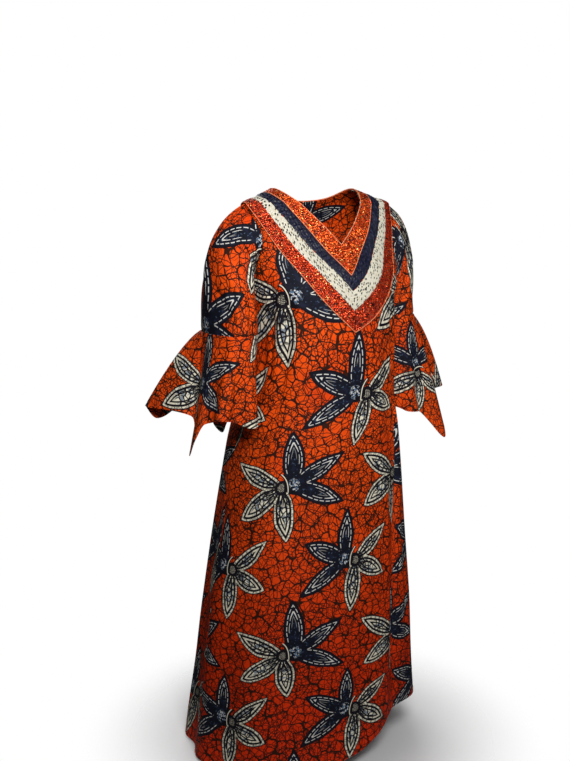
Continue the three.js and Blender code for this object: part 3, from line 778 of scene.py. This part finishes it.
def wax_print():
    """Orange cotton under a dark crackle, with pairs of dark and pale flowers."""
    measures, shades = sizes(), colours()
    board = Board("wax_print", specular_ior_level=0.12)
    cloth = board.uv()
    drawn = board.shifted(cloth, 0.005, 26.0)
    x, y = board.split(drawn)
    across, up = measures.repeat_across, measures.repeat_up
    pairs = []
    for mirrored, (ox, oy) in ((False, measures.first_flower), (True, measures.second_flower)):
        local = board.vector((x - ox).wrapped(across), (y - oy).wrapped(up))
        pairs.append(flower_pair(board, local, mirrored))
    dark, white, pale, line, tips = (pairs[0][i] | pairs[1][i] for i in range(5))
    dark_eye, pale_eye, parting = (pairs[0][i] & pairs[1][i] for i in range(5, 8))

    # the crackle of the ground: rounded islands, smaller ones in patches, and cracks that cross them
    patches = board.noise(cloth, 9.0, 1.0)
    wander = board.shifted(board.shifted(cloth, 0.030, 14.0), 0.008, 75.0)
    drift = board.noise(cloth, 55.0, 1.0)
    wide_net = rounded_net(board, wander, 1 / measures.crackle, 0.082 * drift, 0.085)
    small = board.shifted(board.shifted(cloth, 0.022, 20.0), 0.006, 110.0)
    small_net = rounded_net(board, small, 1.9 / measures.crackle, 0.075 * drift, 0.065)
    small_net = small_net * patches.rise(0.46, 0.52)
    cracks = []
    for scale, place in ((34.0, (0.13, 0.37, 0)), (47.0, (0.71, 0.05, 0))):
        turned = board.node("ShaderNodeMapping", None, {0: cloth, 1: place, 2: (0, 0, place[0] * 3)})
        cracks.append(1 - board.cells(board.shifted(turned, 0.008, 35.0), scale).rise(0.018, 0.048))
    level = (board.noise(board.shifted(cloth, 0.016, 32.0), 46.0, 0.6) - 0.5).absolute()
    cracks.append(level.fall(0.006, 0.015))
    crackle = wide_net | small_net | union(cracks) * 0.92

    tint = board.noise(cloth, 7.0, 3.0)
    # painted shade: the ground is darker and redder towards the hem, where less light falls
    lower = board.node("ShaderNodeSeparateXYZ", None, {0: board.own_place()}, 2).fall(-1.35, -0.45)
    ground = board.blend(tint.rise(0.35, 0.75) * 0.5 | lower * 0.95, shades.ground, shades.ground_deep)
    mottle = board.noise(cloth, 160.0, 2.0).rise(0.40, 0.75) * 0.25
    ground = board.blend(mottle, ground, shades.ground_deep)
    colour = board.blend(crackle, ground, shades.crackle)

    # pale flowers: a cream rim, and inside its bold contour blue and black crackle that clears at the tips
    inner = pale.rise(0.0078, 0.0084)
    chips = board.cells(board.shifted(cloth, 0.010, 60.0), 80.0)
    chipped = chips.fall(0.08, 0.16) * (inner * (1 - tips * 0.8) | (1 - inner) * 0.5)
    blue_patches = board.noise(cloth, 85.0, 2.0).rise(0.48, 0.56)
    cream = board.blend(blue_patches * inner * (1 - tips) * 0.8, shades.cream, shades.blue)
    cream = board.blend(chipped, cream, shades.outline)
    cream = board.blend(line, cream, shades.outline)
    seeds = board.cells(cloth, 300.0, "F1", 0, 0.25)
    seeded = seeds.fall(0.20, 0.30) * pale_eye.fall(0.009, 0.011)
    eye = board.blend(seeded, shades.outline, shades.cream)
    cream = board.blend(pale_eye.fall(0.0168, 0.0180), cream, eye)
    edged = pale.rise(-0.0034, -0.0026) | pale_eye.fall(0.0168, 0.0180)
    colour = board.blend(edged, colour, shades.outline)
    colour = board.blend(pale.rise(-0.0006, 0.0002), colour, cream)
    colour = board.blend(pale_eye.fall(0.0150, 0.0160), colour, eye)

    # dark flowers: navy inside a black edge, with broken white contours
    clouds = board.noise(cloth, 60.0, 3.0).rise(0.50, 0.62) * 0.8
    navy = board.blend(clouds, shades.navy, shades.blue_deep)
    streaks = board.noise(cloth, 170.0, 1.0).rise(0.64, 0.68) * dark.rise(0.008, 0.012) * 0.5
    navy = board.blend(streaks, navy, shades.blue)
    navy = board.blend(white, navy, shades.white_line)
    flakes = board.cells(board.shifted(cloth, 0.003, 160.0), 200.0, "F1")
    core = board.blend(flakes.fall(0.30, 0.46) * 0.8, shades.blue, shades.white_line)
    core = board.blend(board.noise(cloth, 150.0, 1.0).rise(0.47, 0.54), core, shades.navy)
    core = board.blend(dark_eye.between(0.0134, 0.0146, 0.0003), core, shades.outline)
    navy = board.blend(dark_eye.fall(0.0156, 0.0162), navy, core)
    edged = dark.rise(-0.0030, -0.0022) | dark_eye.fall(0.024, 0.025)
    colour = board.blend(edged, colour, shades.outline)
    colour = board.blend(dark.rise(0.0010, 0.0018), colour, navy)

    # the line that parts each pair
    colour = board.blend(parting.fall(0.0034, 0.0042), colour, shades.outline)
    colour = board.blend(parting.fall(0.0008, 0.0014), colour, shades.cream)

    # weave: two crossing runs of threads, with slubs
    u, v = board.split(cloth)
    weft, warp = (v * (2 * math.pi / THREAD)).sine(), (u * (2 * math.pi / THREAD)).sine()
    weave = weft * warp * 0.5 + board.noise(cloth, 420.0, 2.0)
    roughness = 0.62 + 0.16 * board.noise(cloth, 30.0, 2.0) - crackle * 0.06
    return board.finish(colour, roughness, weave, 0.0003, 0.45)


# ---- the trimmings' cloths -------------------------------------------------------------------------------
# Other shades of the nets and of their sequins, each with the share of them that it begins from. The last
# shade of each kind of sequin, a bright gold orange, is a painted glint.
NET_SHADES = {
    "orange": ((0.45, (0.95, 0.20, 0.03, 1)), (0.62, (0.45, 0.03, 0.01, 1)), (0.78, (0.10, 0.012, 0.008, 1))),
    "rust": ((0.40, (0.75, 0.09, 0.02, 1)), (0.66, (0.30, 0.02, 0.008, 1)), (0.84, (0.08, 0.010, 0.006, 1))),
}
SEQUIN_SHADES = {
    "orange": (
        (0.42, (0.95, 0.19, 0.03, 1)),
        (0.62, (0.55, 0.04, 0.01, 1)),
        (0.80, (0.12, 0.012, 0.01, 1)),
        # painted glint: a bright gold orange on the few sequins with the highest share
        (0.95, (1.0, 0.5, 0.16, 1)),
    ),
    "rust": (
        (0.45, (0.72, 0.075, 0.018, 1)),
        (0.70, (0.30, 0.022, 0.01, 1)),
        (0.86, (0.09, 0.01, 0.008, 1)),
        # painted glint: a bright gold orange on the few sequins with the highest share
        (0.96, (1.0, 0.36, 0.10, 1)),
    ),
}


def sequin_net(hue):
    """The net under the sequins: their colour, with specks of others in small cells."""
    board = Board(f"{hue}_sequin_net", specular_ior_level=0.6)
    place = board.uv()
    wander = board.shifted(place, 0.002, 160.0)
    pick = board.node("ShaderNodeSeparateColor", None, {0: board.cells(wander, 330.0, "F1", 1)})
    colour = sequin_colour(hue)
    for low, shade in NET_SHADES[hue]:
        colour = board.blend(pick.rise(low, low + 0.02), colour, shade)
    edge = board.cells(wander, 330.0)
    colour = board.blend(edge.fall(0.02, 0.14) * 0.75, colour, NET_SHADES[hue][-1][1])
    relief = edge.rise(0.0, 0.3) + 0.4 * board.noise(place, 500.0, 2.0)
    return board.finish(colour, 0.35 + 0.2 * board.noise(place, 200.0, 1.0), relief, 0.0009, 0.8)


def sequin_gloss(hue):
    """Shiny discs, each of one shade. A sequin's UV holds two chance numbers, for its shade and its gloss."""
    fixed = {"metallic": 0.8, "coat_weight": 0.05, "coat_roughness": 0.15, "specular_ior_level": 0.4}
    board = Board(f"{hue}_sequin_gloss", **fixed)
    tint, gloss = board.split(board.uv())
    colour = sequin_colour(hue)
    # the last shade, on a few sequins, is a painted glint
    for low, shade in SEQUIN_SHADES[hue]:
        colour = board.blend(tint.rise(low, low + 0.01), colour, shade)
    return board.finish(colour, 0.16 + 0.3 * gloss, None, 0)


def sequin_colour(hue):
    return tuple(getattr(colours(), f"sequin_{hue}"))


def gathered_ribbon():
    c = colours()
    board = Board("gathered_navy_ribbon", specular_ior_level=0.35)
    place = board.uv()
    # painted highlight: a lighter blue where the ruffles rise, the same mask that lifts the bump
    shade = board.noise(board.shifted(place, 0.004, 150.0), 150.0, 3.0).rise(0.50, 0.62)
    colour = board.blend(shade, c.ribbon, (0.020, 0.023, 0.066, 1))
    return board.finish(colour, 0.42 + 0.2 * shade, shade + 0.4 * board.noise(place, 380.0, 2.0), 0.0014, 0.9)


def cream_lace():
    c = colours()
    board = Board("speckled_cream_lace", specular_ior_level=0.3)
    place = board.uv()
    wander = board.shifted(place, 0.003, 140.0)
    loops = board.cells(wander, 200.0)
    specks = board.shifted(place, 0.0028, 230.0)
    kind = board.node("ShaderNodeSeparateColor", None, {0: board.cells(specks, 125.0, "F1", 1)})
    dark = board.cells(specks, 125.0, "F1").fall(0.24, 0.32) * (kind > 0.36)
    aside = board.node("ShaderNodeMapping", None, {0: place, 1: (0.3, 0.7, 0)})
    tan = board.noise(aside, 130.0, 1.0).rise(0.60, 0.66)
    # painted shade: a darker brown cream at the edges of the loops, where their relief sinks
    shade = loops.fall(0.02, 0.16) * 0.3
    colour = board.blend(shade, c.lace, (0.55, 0.47, 0.30, 1))
    colour = board.blend(tan * 0.6, colour, (0.62, 0.48, 0.22, 1))
    colour = board.blend(dark, colour, (0.018, 0.010, 0.010, 1))
    relief = loops.rise(0.0, 0.3) - dark * 1.2 + 0.3 * board.noise(place, 600.0, 2.0)
    return board.finish(colour, 0.75 - 0.2 * dark, relief, 0.0012, 0.9)


def piping():
    c = colours()
    board = Board("piping", specular_ior_level=0.5)
    place = board.own_place()
    strands = board.noise(place, 520.0, 1.0)
    colour = board.blend(strands.rise(0.4, 0.6), c.sequin_orange, (0.98, 0.45, 0.22, 1))
    return board.finish(colour, 0.4 + 0.2 * strands, strands, 0.0008, 0.8)


# ---- settings --------------------------------------------------------------------------------------------
def length_property(name, description, default):
    return bpy.props.FloatProperty(
        name=name, description=description, default=default, unit="LENGTH", precision=4
    )


def colour_property(name, description, default):
    return bpy.props.FloatVectorProperty(
        name=name, description=description, default=(*default, 1.0), size=4, subtype="COLOR", min=0, max=1
    )


def place_property(name, description, default):
    return bpy.props.FloatVectorProperty(
        name=name, description=description, default=default, size=2, unit="LENGTH"
    )


class GownSizes(bpy.types.PropertyGroup):
    cloth: length_property("Cloth", "Thickness of the printed cotton", 0.0010)
    trimming: length_property("Trimming", "Thickness of the neck bands", 0.0016)
    crease_depth: bpy.props.FloatProperty(
        name="Creases",
        description="How deep the creases are, against the depth in the tables",
        default=1.35,
        min=0,
    )
    repeat_across: length_property("Repeat across", "Width of the print's repeat", 0.33)
    repeat_up: length_property("Repeat up", "Height of the print's repeat", 0.412)
    first_flower: place_property("First flower", "From the front's centre at the floor", (-0.004, 0.563))
    second_flower: place_property("Second flower", "A mirrored pair, from the same place", (-0.167, 0.748))
    crackle: length_property("Crackle", "Width of an island of the ground", 0.022)
    sequin: length_property("Sequin", "Width of a sequin", 0.0042)
    cord: length_property("Cord", "Thickness of the cord along the bands", 0.0022)


class GownColours(bpy.types.PropertyGroup):
    ground: colour_property("Ground", "Orange of the printed cotton", (0.98, 0.098, 0.003))
    # Deep ground is a random redder tone of the print and also the painted shade towards the hem
    ground_deep: colour_property("Deep ground", "Redder orange the ground drifts to", (0.78, 0.032, 0.002))
    crackle: colour_property("Crackle", "Dark brown of the crackle", (0.034, 0.009, 0.004))
    outline: colour_property("Outline", "Black of the flowers' outlines", (0.007, 0.006, 0.010))
    navy: colour_property("Navy", "Dark petals", (0.007, 0.008, 0.016))
    blue_deep: colour_property("Deep blue", "Blue that shows through the dark petals", (0.012, 0.016, 0.038))
    blue: colour_property("Blue", "Blue of the crackle in the pale petals", (0.10, 0.17, 0.27))
    white_line: colour_property("White lines", "Broken contours of the dark petals", (0.80, 0.78, 0.73))
    cream: colour_property("Cream", "Pale petals", (0.92, 0.86, 0.68))
    sequin_orange: colour_property("Orange sequins", "Sequins of the innermost band", (0.90, 0.10, 0.010))
    sequin_rust: colour_property("Rust sequins", "Sequins of the outermost band", (0.62, 0.040, 0.006))
    ribbon: colour_property("Ribbon", "Gathered ribbon of the second band", (0.003, 0.004, 0.018))
    lace: colour_property("Lace", "Cream lace of the third band", (0.90, 0.86, 0.71))


def sizes():
    return bpy.context.scene.gown_sizes


def colours():
    return bpy.context.scene.gown_colours


# ---- pieces ----------------------------------------------------------------------------------------------
def the_material(name, make):
    return bpy.data.materials.get(name) or make()


def printed(piece, node):
    finish_cloth(piece, node, sizes().cloth, the_material("wax_print", wax_print))


class GOWN_OT_panels(bpy.types.Operator):
    """Makes the front and back panels, from the hem to the edge of the neck"""

    bl_idname = "gown.panels"
    bl_label = "Front and Back Panels"

    def execute(self, context):
        shoulder = SKIRT_ROWS + CHEST_ROWS
        rows = np.concatenate([
            np.array([0, 0.02, 0.05, 0.09]),
            np.linspace(0.15, SKIRT_ROWS, 124, endpoint=False),
            np.linspace(SKIRT_ROWS, shoulder, 84, endpoint=False),
            np.linspace(shoulder, shoulder + BAND_ROWS, 22),
        ])
        for name, back, across in (
            ("front", False, 1 - crowded(190)),
            ("back_left", True, crowded(90) / 2),
            ("back_right", True, (1 + crowded(90)) / 2),
        ):
            turn, height = panel_grid(back, across, rows)
            uv = print_place(back, turn, height)
            pinch = seam_pinch((uv[..., 0] - uv[:, :1, 0]) * 1000, height)
            pinch += seam_pinch((uv[..., 0] - uv[:, -1:, 0]) * 1000, height)
            pinch += hem_pinch(height - height[:1], uv[..., 0] * 1000)
            if back:
                uv[..., 0] = BACK_PRINT[name] - uv[..., 0]
            piece = grid_object(f"gown_{name}", gown_point(turn, height, pinch), uv)
            printed(piece, name)
        return {"FINISHED"}


class GOWN_OT_sleeves(bpy.types.Operator):
    """Makes the two sleeves, set into the armholes"""

    bl_idname = "gown.sleeves"
    bl_label = "Sleeves"

    def execute(self, context):
        shares, lengths = np.linspace(0.5, 1.5, 137), crowded(92)
        toward = shares * 360
        for name, cuff in CUFFS.items():
            points = sleeve_points(cuff, shares, lengths)
            run = np.linalg.norm(np.diff(points, axis=0), axis=-1).mean(1)
            down = np.concatenate([[0], np.cumsum(run)])[:, None]
            creases = creased(SLEEVE_CREASES[name], toward, lengths[:, None], ARM_GIRTH, SLEEVE_LENGTH)
            lift = creases * SLEEVE_CREASING + 0.4 * slow_waves(toward * ARM_GIRTH, down)
            lift *= np.minimum(1, np.minimum(lengths, 1 - lengths) / 0.08)[:, None] * sizes().crease_depth
            for end in (0, down[-1]):
                lift += seam_pinch(down - end, toward * ARM_GIRTH)
            for seam in (toward[0], toward[-1]):
                lift += seam_pinch((toward - seam) * ARM_GIRTH, down)
            around = round_length(points[len(points) // 2])
            around = -cuff[0] * (around - around[len(shares) // 2])
            uv = np.stack(np.broadcast_arrays(around, -down), -1) / 1000 + np.array(SLEEVE_PRINT[name])
            piece = arm_object(f"sleeve_{name}", cuff, points, uv, lift)
            printed(piece, f"sleeve_{name}")
        return {"FINISHED"}


def ring_place(points, side, across, up, grain):
    """Where a flounce's points lie on the flat cloth, a part of a ring, and how far each is below the seam."""
    drop = np.linalg.norm(np.diff(points, axis=0), axis=-1)
    fallen = np.concatenate([np.zeros((1, points.shape[1])), np.cumsum(drop, 0)])
    middle = len(points) // 2
    seam, around = round_length(points[0])[-1], round_length(points[middle])
    opening = (around[-1] - seam) / fallen[middle].mean()
    angle = (around / around[-1] * opening - np.radians(grain))[None, :]
    radius = fallen + seam / opening
    flat = radius[..., None] * np.stack([-side * np.sin(angle), -np.cos(angle)], -1) / 1000
    return flat + np.array([across, up]), fallen


class GOWN_OT_flounces(bpy.types.Operator):
    """Makes the square flounces at the ends of the sleeves"""

    bl_idname = "gown.flounces"
    bl_label = "Flounces"

    def execute(self, context):
        toward, downs = np.linspace(180, 540, 241), crowded(78)
        for name, cuff in CUFFS.items():
            points = flounce_points(cuff, FLOUNCES[name], toward, downs)
            ripple = np.zeros(len(toward))
            for at, spread, depth in FLOUNCE_RIPPLES[name]:
                away = (toward - at + 540) % 360 - 180
                ripple += depth * np.exp(-0.5 * (away / spread) ** 2)
            uv, fallen = ring_place(points, cuff[0], *FLOUNCE_PRINT[name])
            lift = ripple[None, :] * downs[:, None] ** 1.4 + seam_pinch(fallen, toward * ARM_GIRTH)
            lift += hem_pinch((fallen[-1:] - fallen) * FLOUNCE_HEM_SHARE, toward * FLOUNCE_HEM_GIRTH)
            piece = arm_object(f"flounce_{name}", cuff, points, uv, lift)
            printed(piece, f"flounce_{name}")
        return {"FINISHED"}


def band_ring(order, columns, rows):
    """A neck band's points round the whole neck, the way they face, and how far along and across it they lie.
    Its rows run upwards and its columns from the wearer's left, by the front."""
    lower, upper = 3 - order, 4 - order
    steps = SKIRT_ROWS + CHEST_ROWS + np.linspace(lower + BAND_GAP, upper - BAND_GAP, rows)
    half = columns // 2
    across = np.linspace(0, 1, half + 1)
    panels = panel_grid(False, 1 - across, steps), panel_grid(True, across, steps)
    turn, height = (np.concatenate(halves, 1) for halves in zip(*panels))
    points, normals = gown_point(turn, height), body_normal(turn, height)
    for a, b in ((half, half + 1), (0, 2 * half + 1)):
        normals[:, a] = normals[:, b] = unit(normals[:, a] + normals[:, b])
        points[:, a] = points[:, b] = (points[:, a] + points[:, b]) / 2
    points, normals = np.delete(points, half, 1), np.delete(normals, half, 1)
    along = round_length(points[rows // 2])
    across = np.linspace(0, 1, rows)[:, None] * np.linalg.norm(points[-1] - points[0], axis=-1)[None, :]
    return points, normals, along[None, :] + 0 * across, across


# node, material and its maker, slot, and the mesh's columns and rows: fewer where sequins cover them
BAND_CLOTHS = (
    ("neck_band_inner", "orange_sequin_net", lambda: sequin_net("orange"), "orange_sequin_lace", 600, 19),
    ("neck_band_navy", "gathered_navy_ribbon", gathered_ribbon, "navy_ribbon", 720, 25),
    ("neck_band_cream", "speckled_cream_lace", cream_lace, "cream_lace", 720, 25),
    ("neck_band_outer", "rust_sequin_net", lambda: sequin_net("rust"), "rust_sequins", 600, 19),
)


def trimming_relief(order, along, across, dome):
    """A band's height above its net, and how far its edges stray, both in millimetres."""
    if order == 1:
        frill = np.sin(along / 2.6 + 2.2 * np.sin(across / 5.0) + 1.5 * np.sin(along / 17))
        frill += 0.8 * np.sin(along / 1.9 - across / 2.4) + 0.7 * np.sin(across / 1.7 + along / 6)
        stray = 1.5 * np.sin(along / 5.3 + np.sin(along / 31)) + 0.9 * np.sin(along / 2.9 + 1)
        return dome * (1.7 + 0.85 * frill), stray
    if order == 2:
        loops = np.sin(along / 1.7 + 1.3 * np.sin(across / 2.1))
        loops *= np.sin(across / 1.6 + 1.1 * np.sin(along / 2.7))
        return dome * (1.2 + 0.4 * loops), 0.7 * np.sin(along / 4.1) + 0.5 * np.sin(along / 2.3)
    grains = np.sin(along / 1.3 + np.sin(across / 1.9)) * np.sin(across / 1.4 + np.sin(along / 1.7))
    return dome * (1 + 0.3 * grains), 0.3 * np.sin(along / 3.1)


class GOWN_OT_bands(bpy.types.Operator):
    """Makes the four trimming bands round the neck"""

    bl_idname = "gown.bands"
    bl_label = "Neck Bands"

    def execute(self, context):
        for order, (node, material, make, slot, columns, rows) in enumerate(BAND_CLOTHS):
            points, normals, along, across = band_ring(order, columns, rows)
            share = across / across[-1:]
            dome, stray = trimming_relief(order, along, across, 0.9 * np.sin(np.pi * share) ** 0.6)
            edgeward = unit(points[-1:] - points[:1]) * ((share - 0.5) * 2)[..., None]
            points = points + normals * (BAND_LIFT + dome)[..., None] + edgeward * stray[..., None] * 0.8
            piece = grid_object(f"gown_{node}", points, np.stack([along, across], -1) / 1000)
            cloth = the_material(material, make)
            finish_cloth(piece, node, sizes().trimming, cloth)
        return {"FINISHED"}


def one_sequin(size):
    """The corners of one cupped sequin, modelled once and thrown away, and its faces."""
    bpy.ops.object.select_all(action="DESELECT")
    bpy.ops.mesh.primitive_circle_add(vertices=7, radius=size / 2, fill_type="NOTHING", location=(0, 0, 0))
    disc = bpy.context.object
    bpy.ops.object.mode_set(mode="EDIT")
    bpy.ops.mesh.select_all(action="SELECT")
    bpy.ops.mesh.extrude_edges_move(TRANSFORM_OT_translate={"value": (0, 0, -size * 0.12)})
    bpy.ops.transform.resize(value=(0.3, 0.3, 1), center_override=(0, 0, 0))
    bpy.ops.mesh.edge_face_add()
    bpy.ops.object.mode_set(mode="OBJECT")
    corners = np.array([v.co[:] for v in disc.data.vertices])
    faces = [tuple(f.vertices) for f in disc.data.polygons]
    bpy.data.objects.remove(disc)
    return corners, faces


def scattered(name, corners, faces, centres, axes, tilt, seed):
    """Copies of a small shape on a cloth, each tilted its own way, with two chance numbers as its UV."""
    chance = np.random.default_rng(seed)
    count = len(centres)
    up = unit(axes + tilt * chance.normal(size=(count, 3)))
    side = unit(np.cross(up, chance.normal(size=(count, 3))))
    frames = np.stack([side, np.cross(up, side), up], -1)
    points = centres[:, None] + np.einsum("nij,kj->nki", frames, corners)
    mesh = bpy.data.meshes.new(name)
    all_faces = [tuple(v + i * len(corners) for v in face) for i in range(count) for face in faces]
    mesh.from_pydata(points.reshape(-1, 3).tolist(), [], all_faces)
    layer = mesh.uv_layers.new(name="cloth")
    tint = np.repeat(chance.random((count, 2)), sum(len(f) for f in faces), 0)
    layer.data.foreach_set("uv", tint.astype(np.float32).reshape(-1))
    piece = bpy.data.objects.new(name, mesh)
    bpy.context.scene.collection.objects.link(piece)
    return piece


class GOWN_OT_sequins(bpy.types.Operator):
    """Sews sequins over the innermost and the outermost band"""

    bl_idname = "gown.sequins"
    bl_label = "Sequins"

    def execute(self, context):
        size = sizes().sequin
        corners, faces = one_sequin(size)
        pitch = size * 1000 * SEQUIN_PITCH
        drift = pitch * SEQUIN_DRIFT
        for order, hue, slot in ((0, "orange", "orange_sequin_lace"), (3, "rust", "rust_sequins")):
            name = f"{hue}_sequin_gloss"
            chance = np.random.default_rng(order + 5)
            points, normals, along, across = band_ring(order, 720, 25)
            rows, columns = along.shape
            a, b = np.arange(0, along[0, -1], pitch), np.arange(pitch * 0.5, across[-1].max(), pitch)
            a, b = np.meshgrid(a, b)
            a = (a + np.where(np.arange(a.shape[0]) % 2, pitch / 2, 0)[:, None]).ravel()
            b = b.ravel()
            a, b = a + chance.normal(0, drift, a.shape), b + chance.normal(0, drift, b.shape)
            column = np.clip(np.interp(a, along[0], np.arange(columns)), 0, columns - 1.001)
            share = b / np.interp(column, np.arange(columns), across[-1])
            keep = (share > 0.03) & (share < 0.97) & (chance.random(len(a)) < SEQUINS_SEWN)
            column, row = column[keep], share[keep] * (rows - 1.001)
            i, j = row.astype(int), column.astype(int)
            s, t = (row - i)[:, None], (column - j)[:, None]
            place, facing = (
                mix(mix(g[i, j], g[i, j + 1], t), mix(g[i + 1, j], g[i + 1, j + 1], t), s)
                for g in (points, normals)
            )
            facing = unit(facing)
            lifted = placed(place + facing * SEQUIN_LIFT)
            piece = scattered(f"gown_{name}", corners, faces, lifted, facing, SEQUIN_TILT, order + 21)
            dressed(piece, the_material(name, lambda: sequin_gloss(hue)))
        return {"FINISHED"}


class GOWN_OT_piping(bpy.types.Operator):
    """Lays a thin twisted cord along the edges of the sequinned bands"""

    bl_idname = "gown.piping"
    bl_label = "Piping"

    def execute(self, context):
        for name, order, row in (("neck", 0, -1), ("inner", 0, 0), ("outer", 3, 0)):
            points, normals = band_ring(order, 720, 9)[:2]
            path = placed(points[row] + normals[row] * CORD_LIFT)[:-1]
            line = bpy.data.curves.new(f"gown_piping_{name}", "CURVE")
            line.dimensions, line.bevel_depth, line.bevel_resolution = "3D", sizes().cord / 2, 1
            strand = line.splines.new("POLY")
            strand.points.add(len(path) - 1)
            twist = 1 + 0.22 * np.sin(np.arange(len(path)) * 2 * np.pi * 0.36)
            for point, place, width in zip(strand.points, path, twist):
                point.co, point.radius = (*place, 1), width
            strand.use_cyclic_u = True
            piece = bpy.data.objects.new(line.name, line)
            context.scene.collection.objects.link(piece)
            only(piece)
            bpy.ops.object.convert(target="MESH")
            piece = context.object
            bpy.ops.object.shade_smooth()
            dressed(piece, the_material("piping", piping))
        return {"FINISHED"}


# name, place, what it shines at, size in metres and power in watts
LIGHTS = (
    ("key", (-0.75, -1.9, 0.75), (0, 0, -0.28), 0.8, 12.5),
    ("fill", (1.5, -1.7, 0.9), (0, 0, -0.25), 1.4, 1.9),
    ("back", (0.6, 2.4, 1.4), (0, 0, -0.4), 2.0, 11),
)
LIGHT_SPREAD = 88
SHINE_OF_WORLD, SEEN_WORLD = 0.05, 1.0  # how bright the white world is as a light, and as the backdrop
CAMERA_PLACE = (-1.3, -2.2517, -0.028)
CAMERA_ANGLES = (-30, 10, 1.63)  # round the gown, downwards, and a little to the left
CAMERA_LENS, CAMERA_SENSOR = 48.16, 36


def pale_floor():
    """A pale floor that gives way to the white of the backdrop before its edge."""
    board = Board("pale_floor")
    place = board.own_place()
    x, y = board.split(place)
    fade = 1 - (x * x + y * y).root().rise(0.20, 0.64)
    board.tree.links.new(fade.socket, board.shader.inputs["Alpha"])
    tone = board.noise(place, 3.0, 2.0)
    colour = board.blend(tone, (0.90, 0.90, 0.90, 1), (0.94, 0.94, 0.94, 1))
    return board.finish(colour, 0.75 + 0.1 * tone, None, 0)


class GOWN_OT_stage(bpy.types.Operator):
    """Makes the floor, the lights and the camera"""

    bl_idname = "gown.stage"
    bl_label = "Stage"

    def execute(self, context):
        bpy.ops.object.select_all(action="DESELECT")
        bpy.ops.mesh.primitive_plane_add(size=1, location=(0, 0, 0))
        floor = context.object
        floor.name = "floor"
        floor.data.transform(Matrix.Translation((0, 0, -NECK_POINT / 1000)) @ Matrix.Diagonal((5, 5, 1, 1)))
        floor.data.materials.append(pale_floor())
        world = context.scene.world or bpy.data.worlds.new("studio")
        context.scene.world = world
        world.use_nodes = True
        background = world.node_tree.nodes["Background"]
        background.inputs["Color"].default_value = (1.0, 1.0, 1.0, 1)
        seen = world.node_tree.nodes.new("ShaderNodeLightPath").outputs["Is Camera Ray"]
        bright = world.node_tree.nodes.new("ShaderNodeMapRange")
        bright.inputs["To Min"].default_value = SHINE_OF_WORLD
        bright.inputs["To Max"].default_value = SEEN_WORLD
        world.node_tree.links.new(seen, bright.inputs["Value"])
        world.node_tree.links.new(bright.outputs["Result"], background.inputs["Strength"])
        for name, place, aim, size, power in LIGHTS:
            bpy.ops.object.light_add(type="AREA", location=place)
            light = context.object
            light.name = name
            light.data.size, light.data.energy, light.data.spread = size, power, math.radians(LIGHT_SPREAD)
            light.rotation_euler = (Vector(aim) - Vector(place)).to_track_quat("-Z", "Y").to_euler()
        azimuth, pitch, yaw = (math.radians(angle) for angle in CAMERA_ANGLES)
        ahead = Vector((-math.sin(azimuth), math.cos(azimuth), 0))
        leftward = Vector((-ahead.y, ahead.x, 0))
        level = ahead * math.cos(yaw) + leftward * math.sin(yaw)
        aim = level * math.cos(pitch) - Vector((0, 0, math.sin(pitch)))
        bpy.ops.object.camera_add(location=CAMERA_PLACE)
        camera = context.object
        camera.name = "camera"
        camera.rotation_euler = aim.to_track_quat("-Z", "Y").to_euler()
        camera.data.lens, camera.data.sensor_width = CAMERA_LENS, CAMERA_SENSOR
        context.scene.camera = camera
        context.scene.view_settings.view_transform = "Standard"
        return {"FINISHED"}


class GOWN_PT_panel(bpy.types.Panel):
    """Lists the gown's pieces and settings"""

    bl_label = "Gown"
    bl_idname = "GOWN_PT_panel"
    bl_space_type = "VIEW_3D"
    bl_region_type = "UI"
    bl_category = "Gown"

    def draw(self, context):
        for step in STEPS:
            self.layout.operator(step.bl_idname)
        for group in (sizes(), colours()):
            box = self.layout.box()
            for name in group.__annotations__:
                box.prop(group, name)


STEPS = (
    GOWN_OT_stage,
    GOWN_OT_panels,
    GOWN_OT_sleeves,
    GOWN_OT_flounces,
    GOWN_OT_bands,
    GOWN_OT_sequins,
    GOWN_OT_piping,
)
CLASSES = (GownSizes, GownColours, *STEPS, GOWN_PT_panel)


def register():
    for made in CLASSES:
        bpy.utils.register_class(made)
    bpy.types.Scene.gown_sizes = bpy.props.PointerProperty(type=GownSizes)
    bpy.types.Scene.gown_colours = bpy.props.PointerProperty(type=GownColours)


def unregister():
    del bpy.types.Scene.gown_sizes, bpy.types.Scene.gown_colours
    for made in reversed(CLASSES):
        bpy.utils.unregister_class(made)


def main():
    register()
    bpy.ops.gown.stage()
    bpy.ops.gown.panels()
    bpy.ops.gown.sleeves()
    bpy.ops.gown.flounces()
    bpy.ops.gown.bands()
    bpy.ops.gown.sequins()
    bpy.ops.gown.piping()


if __name__ == "__main__":
    main()
